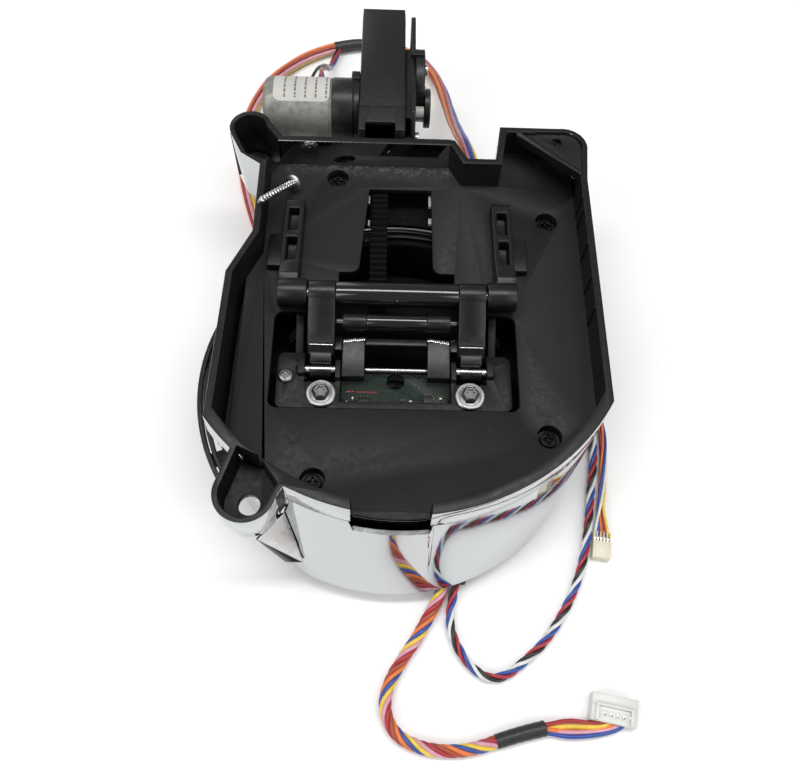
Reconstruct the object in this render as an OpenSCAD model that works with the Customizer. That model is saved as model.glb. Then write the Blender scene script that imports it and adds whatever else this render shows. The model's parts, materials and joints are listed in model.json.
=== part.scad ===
// Retractable lidar scanner module: an open tray with a parallel-arm lift, a
// round scanning head below it, and a rack drive with its motor behind it.
// Millimetres. +Z is up with the tray's open side up, +Y points to the drive,
// and the origin is on the scanning axis in the plane the module stands on.

/* [Tray] */
// Height of the tray's rim above the standing plane
rim_z = 52; // [51:0.5:54]
// Height of the tray's floor, upper surface
floor_z = 40; // [39.8:0.1:40.2]
// Thickness of the tray's floor
floor_t = 2; // [1.6:0.1:2]
// Thickness of the tray's walls
wall_t = 2.4; // [2.2:0.1:2.6]
// Radius of the curved front wall at the rim
front_r = 74.9; // [74.5:0.1:75.5]

/* [Ears] */
// Radius of the holes in the front and left ears
ear_hole_r = 3.3; // [3:0.1:3.6]
// Radius of the hole in the right ear
small_ear_hole_r = 1.8; // [1.6:0.1:2.2]

/* [Drum] */
// Outer radius of the drum wall that stands on the table
drum_r = 60; // [59.5:0.1:60.5]
// Radius of the opening that the head passes through
mouth_r = 54; // [53.8:0.1:54.5]
// Outer radius of the guard hoop
hoop_r = 66.6; // [66:0.1:67.6]
// Radius of the front band at its lower edge
band_r = 65.6; // [65:0.1:66]
// Height of the front band's lower edge
band_z = 7; // [6.5:0.1:8]

/* [Lift] */
// Length of the lift arms between pivots
arm_len = 25.5; // [25.3:0.1:25.7]
// Slope of the arms below level, in degrees
arm_slope = 24.4; // [24:0.1:25]
// Radius of the upper pivot pins
arm_pin_r = 2; // [1.8:0.1:2.2]
// Radius of the lower link pins
link_pin_r = 1.25; // [1.1:0.05:1.4]
// Running clearance of a pin in its bore, on the radius
fit = 0.05; // [0.03:0.01:0.08]

/* [Drive] */
// Gear module of rack, pinion and sector
gear_m = 0.8; // [0.8:0.1:0.8]
// Teeth on the full circle of the sector gear
sector_teeth = 20; // [20:1:20]
// Teeth on the drive pinion
pinion_teeth = 10; // [10:1:10]
// Width of the rack
rack_w = 6; // [5:0.5:6.5]
// Diameter of the motor can
motor_d = 23; // [22.6:0.2:24.4]

/* [Head] */
// Radius of the scanning head's base plate and cap
head_r = 50; // [49:0.1:50.2]
// Radius of the spinning turret
turret_r = 38; // [36:0.5:40]
// Clearance of the cap above the standing plane
cap_lift = 0.6; // [0.4:0.1:0.8]

/* [Hidden] */
$fn = 64;
nil = 0.01;

// Plan of the tray
front_c = [1.9, 21.3];
front_k = 1.6;
lip_in = 1.95;
back_y = 88.5;
left_x = -58.9;
right_x = 67;
notch = [20.1, 24.6, 34.6, 36.8];
notch_y = 80;
block_y = 95.5;
skirt_z = 30;
left_floor_z = 30;
channel_x = -52.1;
boss_at = [[-22.4, 79.8], [53.7, 61.9], [48.8, -23], [-25.2, -38.9]];
boss_seat_z = 36.4;
boss_low_z = 34.4;
front_ear = [-43.5, -47.3];
left_ear = [-54.2, 92.4];
right_ear = [59.8, 87];
right_hole = [57.7, 90.4];
front_ear_r = 9.3;
rear_ear_r = 7.6;

// Lift geometry in the YZ plane: A is the arm's pivot, B the carriage pin,
// E and F are the same pair for the guide links below
pivot_a = [25.5, 45];
arm_v = arm_len * [-cos(arm_slope), -sin(arm_slope)];
pivot_b = pivot_a + arm_v;
pivot_e = [25.5, 34];
pivot_f = pivot_e + arm_v;
hub_r = 4.5;
bar_r = 4.2;
shaft_at = pivot_a + [-9, -3];
link_in = 20.5;
link_out = 29.5;
carriage_pin_r = 1.5;
open_fit = 0.35;

// Drive geometry: the rack runs along Y between sector and pinion
sector_r = gear_m * sector_teeth / 2;
pinion_r = gear_m * pinion_teeth / 2;
rack_z = pivot_a[1] - sector_r;
rack_x = -6.75;
pinion_y = 113.1;
motor_z = rack_z + pinion_r;
rack_y0 = 17.4;
rack_y1 = 140;
backlash = 0.16;
case_x = [-15.2, 1.9];
case_y1 = 157.5;

// Head levels
plate_z = 18;
plate_t = 2.5;
plate_top = plate_z + plate_t;
bracket_z = 31.5;
boss_top = 35;
flange_at = [24.5, -7];
cap_t = 2.4;
turret_z = [5.2, 15.4];
post_r = 46.6;
hub_hole_r = 5;

// Routes of the free leads, centre lines along the table
main_r = 2.2;
main_route = [
    [17, -60, 3.2], [16.3, -64.4, 2.7], [12.6, -71.4, 2.3], [8.8, -78.2, 2.3],
    [4.2, -85, 2.3], [0.4, -91.6, 2.3], [-1.4, -98.2, 2.3], [-0.3, -103.8, 2.3],
    [2.9, -108, 2.3], [8, -110.6, 2.3], [14, -112, 2.3], [21, -112.1, 2.3],
    [27.4, -111.1, 2.35], [33, -109.4, 2.4], [40.6, -107.2, 2.5],
    [48.6, -105.3, 2.5], [55, -105, 2.5], [61, -105.8, 2.5],
    [65.6, -106, 2.8], [69, -104.3, 3.1]];
loop_r = 1.75;
loop_route = [
    [21.5, -60, 2.8], [20.6, -65, 2.2], [19.6, -70.4, 1.85], [20, -76.4, 1.85],
    [22.4, -82.2, 1.85], [26.2, -87.2, 1.85], [31.2, -90.4, 1.85],
    [36.8, -89.8, 1.85], [43, -85.6, 1.85], [49.2, -80.2, 1.85],
    [54.2, -74.2, 1.85], [58.6, -67.4, 1.85], [62.4, -60, 1.85],
    [65.4, -52, 1.85], [67.6, -43.6, 1.85], [69.2, -35, 1.85],
    [70.6, -26.4, 1.85], [72.2, -17.6, 1.85], [73, -8.6, 1.85],
    [72, -0.6, 1.85], [68.4, 5.2, 1.85], [64.4, 7.6, 2.2], [60, 8, 2.8]];
sensor_r = 1.5;
sensor_route = [
    [60, 14.5, 2.8], [65.4, 14, 2.2], [70.6, 11.6, 1.7], [74.4, 6.8, 1.6],
    [76.4, 0, 1.6], [76.9, -8, 1.6], [76.2, -16, 1.6], [75, -24, 1.6],
    [73.8, -31, 1.65], [73, -36.6, 1.8], [72.8, -41.6, 2.1]];
rear_r = 2.5;
rear_route = [
    [28.3, 80.9, 43.2], [27.2, 85.4, 43.4], [26, 91, 43], [25, 97, 41],
    [24.4, 104, 36.8], [24, 111, 31.8], [23.6, 119, 26.4], [23, 128, 21],
    [22.4, 137, 16.2], [21.6, 146, 12.2], [20.6, 155, 9], [19, 164.2, 6.4],
    [16.4, 173, 4.5], [12.2, 181, 3.3], [6.2, 187.8, 2.7],
    [-1.6, 192.2, 2.75], [-11, 194.2, 2.75], [-20.6, 193.8, 2.75],
    [-30, 191.4, 2.75], [-38.4, 187.4, 2.6], [-46.2, 181.8, 2.6],
    [-53.2, 174.8, 2.6], [-59, 166.6, 2.6], [-63.2, 157.2, 2.6],
    [-65.8, 146.8, 2.6], [-66.8, 135.6, 2.6], [-66.6, 124.4, 2.6],
    [-65.2, 113.2, 2.6], [-62.6, 102, 2.6], [-59, 90.8, 2.6],
    [-54.8, 79.6, 2.6], [-50.6, 68.4, 2.6], [-47, 57.4, 2.6],
    [-44, 48.4, 3], [-41.6, 42.4, 3.4]];
// Numbers of the route points at which the shrink sleeves start and end
sleeve_main = [13, 15];
sleeve_rear = [16, 18];
motor_lead_r = 1.6;
motor_lead_route = [
    [-32, 125.4, 41.4], [-32, 130, 41], [-31.9, 138, 37.8],
    [-31.7, 146, 31.8], [-31.5, 154, 24.6], [-31.3, 162, 17.2],
    [-31, 170, 10.2], [-30.6, 177, 5.4], [-29.9, 183, 3.4],
    [-28.2, 189.6, 3]];

// ---------- helpers ----------

// A bar along X between two X values, through a point of the YZ plane
module x_rod(x0, x1, yz, r)
{
    translate([x0, yz[0], yz[1]]) rotate([0, 90, 0]) cylinder(r = r, h = x1 - x0);
}

// Runs its children twice, once on each side of the YZ plane
module both_sides()
{
    children();
    mirror([1, 0, 0]) children();
}

// A box between two corners
module box(a, b)
{
    translate(a) cube(b - a);
}

// A YZ outline drawn in 2D as (y, z), pushed out along X
module yz_plate(x0, x1)
{
    translate([x0, 0, 0]) rotate([90, 0, 90]) linear_extrude(x1 - x0) children();
}

// A flat bar with round ends between two 2D points
module bar_2d(a, b, r)
{
    d = b - a;
    translate(a) circle(r);
    translate(b) circle(r);
    translate(a) rotate(atan2(d[1], d[0])) translate([0, -r]) square([norm(d), 2 * r]);
}

// A rectangle between two corners
module square_between(a, b)
{
    translate(a) square(b - a);
}

// A rectangle with rounded corners between two corners
module round_rect(a, b, r)
{
    translate([a[0] + r, a[1]]) square([b[0] - a[0] - 2 * r, b[1] - a[1]]);
    translate([a[0], a[1] + r]) square([b[0] - a[0], b[1] - a[1] - 2 * r]);
    for (x = [a[0] + r, b[0] - r], y = [a[1] + r, b[1] - r]) translate([x, y]) circle(r);
}

// A cheese-head screw standing on z = 0 with its cross recess, shank downwards
module screw(head_r, head_h, shank_r, shank_l)
{
    difference()
    {
        cylinder(r = head_r, h = head_h, $fn = 32);
        translate([0, 0, head_h - 1]) for (a = [0, 90]) rotate(a)
            translate([-head_r * 0.6, -0.35, 0]) cube([head_r * 1.2, 0.7, 1 + nil]);
    }
    translate([0, 0, -shank_l]) cylinder(r = shank_r, h = shank_l + nil, $fn = 24);
}

// Involute gear outline: teeth numbered from the +Y side of the 2D plane
function involute(rb, a) = rb * [cos(a) + a * PI / 180 * sin(a), sin(a) - a * PI / 180 * cos(a)];
function turned(p, a) = [p[0] * cos(a) - p[1] * sin(a), p[0] * sin(a) + p[1] * cos(a)];
function roll_at(rb, r) = sqrt(max(0, pow(r / rb, 2) - 1)) * 180 / PI;

module gear_tooth(m, teeth, play)
{
    rp = m * teeth / 2;
    rb = rp * cos(20);
    ro = rp + m * 0.9;
    rf = rp - m * 1.2;
    half = 90 / teeth - play / rp * 90 / PI;
    lean = tan(20) * 180 / PI - 20;
    flank = [for (i = [0:4]) involute(rb, roll_at(rb, max(rb, rf) + (ro - max(rb, rf)) * i / 4))];
    side = concat([[rf - 0.3, 0]], [for (p = flank) p]);
    right = [for (p = side) turned(p, -half - lean)];
    left = [for (i = [len(right) - 1:-1:0]) [right[i][0], -right[i][1]]];
    polygon(concat(right, left));
}

// Straight rack outline in (y, z), pitch line at z = 0
module rack_2d(y0, y1, depth, play)
{
    pitch = PI * gear_m;
    top = gear_m * 0.75;
    low = -gear_m * 1.2;
    half = pitch / 4 - play / 2;
    translate([y0, -depth]) square([y1 - y0, depth + low]);
    first = ceil((y0 - pivot_a[0]) / pitch);
    last = floor((y1 - pivot_a[0]) / pitch) - 1;
    for (i = [first:last])
    {
        y = pivot_a[0] + (i + 0.5) * pitch;
        polygon([
            [y - half + low * tan(20), low - nil], [y + half - low * tan(20), low - nil],
            [y + half - top * tan(20), top], [y - half + top * tan(20), top]]);
    }
}

// Lead: a tube of 8 sides swept along a route of points
function unit(v) = v / norm(v);
function along(r, i) = unit(r[min(i + 1, len(r) - 1)] - r[max(i - 1, 0)]);
module lead(route, r)
{
    sides = 8;
    n = len(route);
    points = [for (i = [0:n - 1]) let(
        t = along(route, i), s = unit(cross([0, 0, 1], t)), u = cross(t, s))
        for (k = [0:sides - 1]) route[i] + r * (cos(360 * k / sides) * s + sin(360 * k / sides) * u)];
    walls = [for (i = [0:n - 2], k = [0:sides - 1])
        [i * sides + k, i * sides + (k + 1) % sides,
         (i + 1) * sides + (k + 1) % sides, (i + 1) * sides + k]];
    polyhedron(points, concat([for (w = walls) [w[3], w[2], w[1], w[0]]],
        [[for (k = [0:sides - 1]) k], [for (k = [sides - 1:-1:0]) (n - 1) * sides + k]]));
}

// A stretch of a route, by point numbers
function stretch(route, i0, i1) = [for (i = [i0:i1]) route[i]];

// ---------- tray ----------

module tray_plan(t)
{
    intersection()
    {
        polygon([
            [left_x + t, -60], [-56.7 + t, 29], [-49.4 + t, 45.5],
            [-49.4 + t, back_y - t], [notch[0] - 0.6 * t, back_y - t],
            [notch[1] - 0.7 * t, notch_y - t], [notch[2] + 0.9 * t, notch_y - t],
            [notch[3] + t, block_y - t], [53.5 - 0.4 * t, block_y - t],
            [right_x - t, 84 - t], [right_x - t, -60]]);
        union()
        {
            translate(front_c) circle(front_r - front_k * t, $fn = 128);
            translate([-70, 10]) square([140, 90]);
        }
    }
}

module front_ear_plan(t)
{
    translate(front_ear) circle(front_ear_r - t);
    polygon([
        [-52.5 + t, -45.5], [-48.7 + t, -33], [-40, -36], [-31.8 - 1.2 * t, -44.5],
        [-37 - 0.6 * t, -53.6 + t], [-44, -50]]);
}

module left_ear_plan(t)
{
    translate(left_ear) circle(rear_ear_r - t);
    polygon([
        [-61.1 + t, 89], [-56.6 + t, 80], [-49.4 + t, 75 + t], [-42 - t, back_y - t],
        [-49.6 - t, 98.2 - t * 0.6], [-54, 92]]);
}

module right_ear_plan(t)
{
    translate(right_ear) circle(8.6 - t);
    polygon([
        [50, block_y - t], [58.5, block_y - t], [68.3 - t, 86], [right_x - t, 72 + t], [50, 72 + t]]);
}

module ear_plans(t)
{
    front_ear_plan(t);
    left_ear_plan(t);
    right_ear_plan(t);
}

// The opening in the floor over the lift: pocket, link bays and drive slot
module lift_opening()
{
    round_rect([-41, -14.5], [40, 21.5], 3);
    round_rect([-30.6, 10], [30.6, 30.4], 2);
    offset(r = -3.5) offset(delta = 3.5)
    {
        square_between([-20.2, 20], [19.8, 38]);
        polygon([[-14.8, 20], [12.5, 20], [12.1, 75], [-10.6, 75]]);
    }
}

module tray_floor()
{
    difference()
    {
        intersection()
        {
            tray_plan(wall_t - nil);
            translate([channel_x, -60]) square([140, 170]);
        }
        lift_opening();
        for (p = boss_at) translate(p) circle(3.9);
    }
}

module screw_boss()
{
    difference()
    {
        translate([0, 0, boss_low_z]) cylinder(r = 5.2, h = floor_z - boss_low_z);
        translate([0, 0, boss_seat_z]) cylinder(r = 3.9, h = 10);
        translate([0, 0, boss_low_z - 1]) cylinder(r = 1.6, h = 10);
    }
}

// The tray's wall, with the front lip above the band and the lowered notch
module tray_wall()
{
    difference()
    {
        union()
        {
            translate([0, 0, 46]) linear_extrude(rim_z - 46)
                difference() { union() { tray_plan(0); ear_plans(0); } tray_plan(wall_t); ear_plans(1.8); }
            translate([0, 0, floor_z - floor_t]) linear_extrude(46 - floor_z + floor_t + nil)
                difference()
                {
                    union()
                    {
                        intersection()
                        {
                            tray_plan(0);
                            union()
                            {
                                translate(front_c) circle(front_r - lip_in, $fn = 128);
                                translate([-70, 10]) square([140, 90]);
                            }
                        }
                        ear_plans(0);
                    }
                    tray_plan(wall_t);
                    ear_plans(1.8);
                }
        }
        translate([-12.8, -60, 42]) cube([23.5, 16, 20]);
    }
}

// Skirt below the floor, around the back and the sides
module tray_skirt()
{
    difference()
    {
        translate([0, 0, skirt_z]) linear_extrude(floor_z - floor_t - skirt_z + nil)
            intersection()
            {
                difference() { tray_plan(0); tray_plan(wall_t); }
                translate([-70, -17]) square([140, 120]);
            }
        box([rack_x - 4.6, back_y - 6, skirt_z - 1], [rack_x + 4.6, back_y + 1, floor_z - floor_t + nil]);
    }
}

// Deep channel between the floor's left edge and the left wall
module left_channel()
{
    difference()
    {
        translate([0, 0, skirt_z]) linear_extrude(floor_z - skirt_z) intersection()
        {
            tray_plan(wall_t - nil);
            translate([-62, -30]) square([62 + channel_x + 1.5, 66]);
        }
        translate([0, 0, skirt_z + 1.4]) linear_extrude(20) intersection()
        {
            tray_plan(wall_t);
            translate([-62, -28.6]) square([62 + channel_x, 63]);
        }
    }
}

// Inside of the tray's back right corner, with the ear's cup
module right_ear_pocket()
{
    tray_plan(wall_t - nil);
    right_ear_plan(1.7);
}

// Floors of the three ears with their holes
module ear_floors()
{
    difference()
    {
        union()
        {
            translate([0, 0, 38]) linear_extrude(2.5)
                difference() { front_ear_plan(1.7); tray_plan(wall_t - nil); }
            translate([0, 0, left_floor_z]) linear_extrude(2.5)
                difference() { left_ear_plan(1.7); tray_plan(wall_t - nil); }
            translate([0, 0, 48]) linear_extrude(2.5) intersection()
            {
                right_ear_pocket();
                polygon([[44.6, 97], [44.6, 92], [63.4, 76.6], [72, 76.6], [72, 97]]);
            }
            translate([0, 0, 48]) linear_extrude(rim_z - 48.2) intersection()
            {
                right_ear_pocket();
                bar_2d([43.6, 92.8], [65, 75.4], 1);
            }
        }
        translate([front_ear[0], front_ear[1], 30]) cylinder(r = ear_hole_r, h = 20);
        translate([left_ear[0], left_ear[1], 20]) cylinder(r = ear_hole_r, h = 20);
        translate([right_hole[0], right_hole[1], 40]) cylinder(r = small_ear_hole_r, h = 20);
    }
}

// Lower walls of the rear ears
module ear_skirts()
{
    translate([0, 0, left_floor_z]) linear_extrude(floor_z - left_floor_z) difference()
    {
        left_ear_plan(0);
        left_ear_plan(1.8);
        tray_plan(nil);
    }
}

// Shelf behind the notch in the front wall
module notch_shelf()
{
    difference()
    {
        translate([0, 0, 38]) linear_extrude(4) intersection()
        {
            tray_plan(wall_t - nil);
            translate([-14.5, -60]) square([27, 11]);
        }
        box([-8.5, -51.2, 39.5], [8.2, -49.9, 43]);
    }
    for (x = [-24, 12.5]) translate([0, 0, 38]) linear_extrude(10.5) intersection()
    {
        tray_plan(wall_t - nil);
        translate([x, -60]) square([9.5, 12]);
    }
}

// Lugs under the floor that hold the guide links' upper pins
module guide_lugs()
{
    both_sides() difference()
    {
        yz_plate(35.1, 37.6) union()
        {
            bar_2d(pivot_e, pivot_e + [0, 2.5], 2.6);
            translate([pivot_e[0] - 2.6, pivot_e[1]]) square([5.2, floor_z - floor_t - pivot_e[1] + nil]);
        }
        x_rod(30, 40, pivot_e, link_pin_r);
    }
}

module housing_tray()
{
    color([0.07, 0.07, 0.075])
    {
        tray_wall();
        translate([0, 0, floor_z - floor_t]) linear_extrude(floor_t) tray_floor();
        tray_skirt();
        left_channel();
        ear_floors();
        ear_skirts();
        notch_shelf();
        guide_lugs();
        for (p = boss_at) translate([p[0], p[1], 0]) screw_boss();
    }
}

// ---------- drum and covers ----------

// Front band: a ruled wall from the round lower edge to the tray's front arc
module band_solid(t)
{
    top = 45.9;
    k = (top - band_z) / (rim_z - band_z);
    hull()
    {
        translate([0, 0, band_z - t]) cylinder(r = band_r - t, h = nil, $fn = 120);
        translate([front_c[0] * k, front_c[1] * k, top + t])
            cylinder(r = band_r + (front_r - band_r) * k - t, h = nil, $fn = 120);
    }
}

module mirror_band()
{
    color([0.78, 0.79, 0.8]) intersection()
    {
        difference()
        {
            band_solid(0);
            band_solid(1.6);
            box([-12.8, -70, 41.6], [10.7, -40, 60]);
        }
        union()
        {
            linear_extrude(60) polygon([
                [0, -20], [-33.2, -39], [-26, -68.6], [0, -90], [90, -60], [64.2, -17.6]]);
            linear_extrude(37.9) polygon([[0, -20], [-32.9, -39], [-37.9, -68.6], [0, -90]]);
        }
    }
}

module drum_shell()
{
    color([0.06, 0.06, 0.065]) difference()
    {
        cylinder(r = drum_r, h = 29.6, $fn = 128);
        translate([0, 0, -1]) cylinder(r = drum_r - 2, h = 40, $fn = 128);
        grommet_blocks(0.02);
        box([-45, -62, 20], [45, -44, 31]);
    }
}

// Thin hoop around the back and sides, on struts
module guard_hoop()
{
    color([0.05, 0.05, 0.055]) intersection()
    {
        union()
        {
            translate([0, 0, 24]) difference()
            {
                cylinder(r = hoop_r, h = 4, $fn = 128);
                translate([0, 0, -1]) cylinder(r = hoop_r - 1.6, h = 6, $fn = 128);
            }
            translate([0, 0, 24]) difference()
            {
                cylinder(r = hoop_r - 2.1, h = 3.4, $fn = 128);
                translate([0, 0, -1]) cylinder(r = hoop_r - 3.6, h = 6, $fn = 128);
            }
            for (a = [-5:35:232]) rotate(a) translate([drum_r, -2, 24])
                cube([hoop_r - drum_r - 0.6, 4, 3]);
        }
        linear_extrude(40) polygon([
            [0, -20], [-90, -54], [-90, 90], [90, 90], [90, -17], [60, -15]]);
    }
}

module base_ring()
{
    color([0.09, 0.09, 0.095]) difference()
    {
        cylinder(r = drum_r - 2.02, h = 3.4, $fn = 128);
        translate([0, 0, -1]) cylinder(r = mouth_r, h = 10, $fn = 128);
        translate([0, 0, -nil]) cylinder(r1 = mouth_r + 1, r2 = mouth_r, h = 1, $fn = 128);
    }
}

module rear_cover()
{
    color([0.08, 0.08, 0.085])
    {
        translate([0, 0, 28]) linear_extrude(1.9) difference()
        {
            tray_plan(0.1);
            circle(hoop_r + 0.3, $fn = 128);
            translate([-80, -90]) square([160, 110]);
        }
        for (i = [0, 1]) translate([boss_at[i][0], boss_at[i][1], 29.8]) difference()
        {
            cylinder(r = 4.4, h = boss_low_z - 29.8);
            translate([0, 0, 1]) cylinder(r = 1.25, h = 10);
        }
    }
}

// Rib that carries the front ear down to the end of the band
module ear_gusset()
{
    color([0.06, 0.06, 0.065]) difference()
    {
        hull()
        {
            translate([-38.6, -54.8, 37.4]) cube(0.4);
            translate([-32.8, -48, 37.4]) cube(0.4);
            translate([-29.2, -57.7, 15]) cube(0.4);
            translate([-41.2, -56.6, 35.6]) cube(0.4);
            translate([-34.7, -57, 12.4]) cube(0.4);
        }
        band_solid(-0.03);
    }
}

module case_screws()
{
    color([0.2, 0.2, 0.21])
    {
        for (i = [0, 1]) translate([boss_at[i][0], boss_at[i][1], boss_seat_z])
            screw(2.7, 1.9, 1.25, boss_seat_z - 30.9);
        for (i = [2, 3]) translate([boss_at[i][0], boss_at[i][1], boss_seat_z])
            screw(2.7, 1.9, 1.4, boss_seat_z - boss_low_z - 0.1);
    }
}

// Blocks that fill the three cable gaps in the drum's lower edge
module grommet_blocks(grow)
{
    g = [grow, grow, grow];
    box([13.2, -60.6, 0.3] - g, [24.8, -51.5, 6.2] + g);
    box([54.6, 4.6, 0.3] - g, [60, 18, 6.2] + g);
    box([-46.2, 36, 0.3] - g, [-37.4, 46.5, 6.3] + g);
}

module cable_grommets()
{
    color([0.12, 0.12, 0.12]) difference()
    {
        grommet_blocks(0);
        cylinder(r = drum_r - 2, h = 20, $fn = 128);
        translate([17, -50, 3.2]) rotate([90, 0, 0]) cylinder(r = main_r, h = 20, $fn = 24);
        translate([21.5, -50, 2.8]) rotate([90, 0, 0]) cylinder(r = loop_r, h = 20, $fn = 24);
        translate([50, 8, 2.8]) rotate([0, 90, 0]) cylinder(r = loop_r, h = 20, $fn = 24);
        translate([50, 14.5, 2.8]) rotate([0, 90, 0]) cylinder(r = sensor_r, h = 20, $fn = 24);
        translate([-41.6, 60, 3.4]) rotate([90, 0, 0]) cylinder(r = rear_r, h = 40, $fn = 24);
    }
}

// ---------- hinge brackets and pins ----------

module hinge_bracket()
{
    difference()
    {
        union()
        {
            yz_plate(33.2, 39.8) polygon([
                [23.5, floor_z], [23.5, 47], [31, 49.2], [36, 47.4], [64, 46], [66, 44], [66, floor_z]]);
            x_rod(30, 39.8, pivot_a, 4.9);
            translate([30, 23, floor_z]) cube([3.5, 9, 3.4]);
            translate([39.6, 38, floor_z]) cube([5.4, 13.5, 3]);
        }
        for (y = [37.5, 50.5]) translate([34.8, y, floor_z + 2]) cube([3.5, 10, 12]);
        x_rod(29, 38.6, pivot_a, arm_pin_r);
        box([25, 10, 30], [45, 80, floor_z + 0.02]);
    }
}

module hinge_bracket_left() { color([0.08, 0.08, 0.085]) mirror([1, 0, 0]) hinge_bracket(); }
module hinge_bracket_right() { color([0.08, 0.08, 0.085]) hinge_bracket(); }

module arm_pivot_pins()
{
    color([0.7, 0.7, 0.72]) both_sides() x_rod(22.5, 38.5, pivot_a, arm_pin_r);
}

module link_pivot_pins()
{
    color([0.7, 0.7, 0.72]) both_sides() x_rod(31.3, 37.5, pivot_e, link_pin_r);
}

// ---------- drive behind the tray ----------

module gearbox_case()
{
    wall = 2;
    color([0.06, 0.06, 0.065]) difference()
    {
        union()
        {
            box([case_x[0], 93.2, 31], [case_x[1], case_y1, rim_z - 0.6]);
            box([case_x[0], back_y + 0.02, 31], [22, 97, 38.5]);
            box([case_x[1] - nil, 90, 38], [20, 96.6, 44]);
        }
        box([case_x[0] + wall, 95.2, 33], [case_x[1] - wall, case_y1 - wall, rim_z - 2.4]);
        box([rack_x - 4, 80, 33], [rack_x + 4, 97, 39]);
        box([-12.6, 90, 40.5], [-1.7, 97, 55]);
        x_rod(case_x[0] - 1, case_x[0] + 3, [pinion_y, motor_z], 5.2);
        x_rod(case_x[1] - 3, case_x[1] + 1, [pinion_y, motor_z], 2 + fit);
        translate([-30, case_y1 - 3, rim_z - 3]) rotate([20, 0, 0]) cube([60, 8, 8]);
    }
}

module gearbox_cover()
{
    color([0.07, 0.07, 0.075])
    {
        difference()
        {
            yz_plate(4.2, 6) polygon([
                [97.2, 31], [97.2, 42], [104, 50], [154, 50.6], [156.5, 49], [156.5, 36], [150, 31]]);
            x_rod(0, 10, [pinion_y, motor_z], 2 + fit);
            x_rod(0, 10, [104, 36], 1.2);
        }
        box([case_x[1] + nil, 98.5, 31], [4.2 + nil, 145, 34]);
        box([case_x[1] + nil, 102, 46.5], [4.2 + nil, 138, 49]);
    }
}

module gear_hub_cover()
{
    color([0.09, 0.09, 0.095])
    {
        difference()
        {
            x_rod(6.02, 9.6, [129.5, 38.6], 13.6);
            box([0, 90, 20], [12, 145, 27]);
            x_rod(0, 20, [130, 46], 1.2);
            x_rod(0, 20, [134, 31.5], 1.2);
        }
        x_rod(9.6 - nil, 12, [118, 38], 7.4);
    }
}

module gearbox_screws()
{
    color([0.72, 0.72, 0.74])
    {
        translate([9.62, 130, 46]) rotate([0, 90, 0]) screw(2.2, 1.3, 1.2, 3.5);
        translate([9.62, 134, 31.5]) rotate([0, 90, 0]) screw(2.2, 1.3, 1.2, 3.5);
        translate([6.02, 104, 36]) rotate([0, 90, 0]) screw(2.4, 1.7, 1.2, 4);
    }
}

module limit_switch()
{
    color([0.15, 0.15, 0.17])
    {
        box([-11, 144.5, 42], [-2, 150, 48]);
        box([-8, 142.4, 36.5], [-5.4, 145, 46]);
        box([-11, 150 - nil, 42], [-2, 155.4, 43.4]);
    }
}

module motor_can()
{
    r = motor_d / 2;
    color([0.62, 0.62, 0.58]) translate([-51.6, pinion_y, motor_z]) rotate([0, 90, 0])
        rotate_extrude() polygon([
            [0, 0], [r - 3, 0], [r - 1.2, 0.7], [r - 0.3, 1.8], [r, 3.4], [r, 26], [0, 26]]);
}

module motor_end_cap()
{
    color([0.05, 0.05, 0.055])
    {
        difference()
        {
            union()
            {
                x_rod(-25.58, -17.6, [pinion_y, motor_z], 11.7);
                x_rod(-17.6 - nil, case_x[0] - 0.02, [pinion_y, motor_z], 11);
                box([-18.4, pinion_y + 5, motor_z + 6], [case_x[0] - 0.02, pinion_y + 9, motor_z + 11]);
            }
            x_rod(-18, -10, [pinion_y, motor_z], 2 + fit);
        }
    }
}

module motor_label()
{
    r = motor_d / 2;
    color([0.9, 0.9, 0.88]) intersection()
    {
        difference()
        {
            x_rod(-47.5, -26.4, [pinion_y, motor_z], r + 0.12);
            x_rod(-50, -20, [pinion_y, motor_z], r + 0.02);
        }
        translate([-60, pinion_y - 6, motor_z]) cube([60, 18, 20]);
    }
}

// Loose self-tapping screw that leans from the tray's floor on its left wall
module mounting_screw()
{
    tip = [-48, 54, 56];
    head = [-38, 74.4, 43.4];
    d = tip - head;
    color([0.75, 0.75, 0.74]) translate(head)
        rotate([0, acos(d[2] / norm(d)), atan2(d[1], d[0])])
        {
            cylinder(r = 1.45, h = norm(d) - 2, $fn = 24);
            translate([0, 0, norm(d) - 2 - nil]) cylinder(r1 = 1.45, r2 = 0.5, h = 2, $fn = 24);
            translate([0, 0, -0.6]) cylinder(r = 2.9, h = 1.8, $fn = 32);
        }
}

// ---------- lift arm ----------

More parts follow.
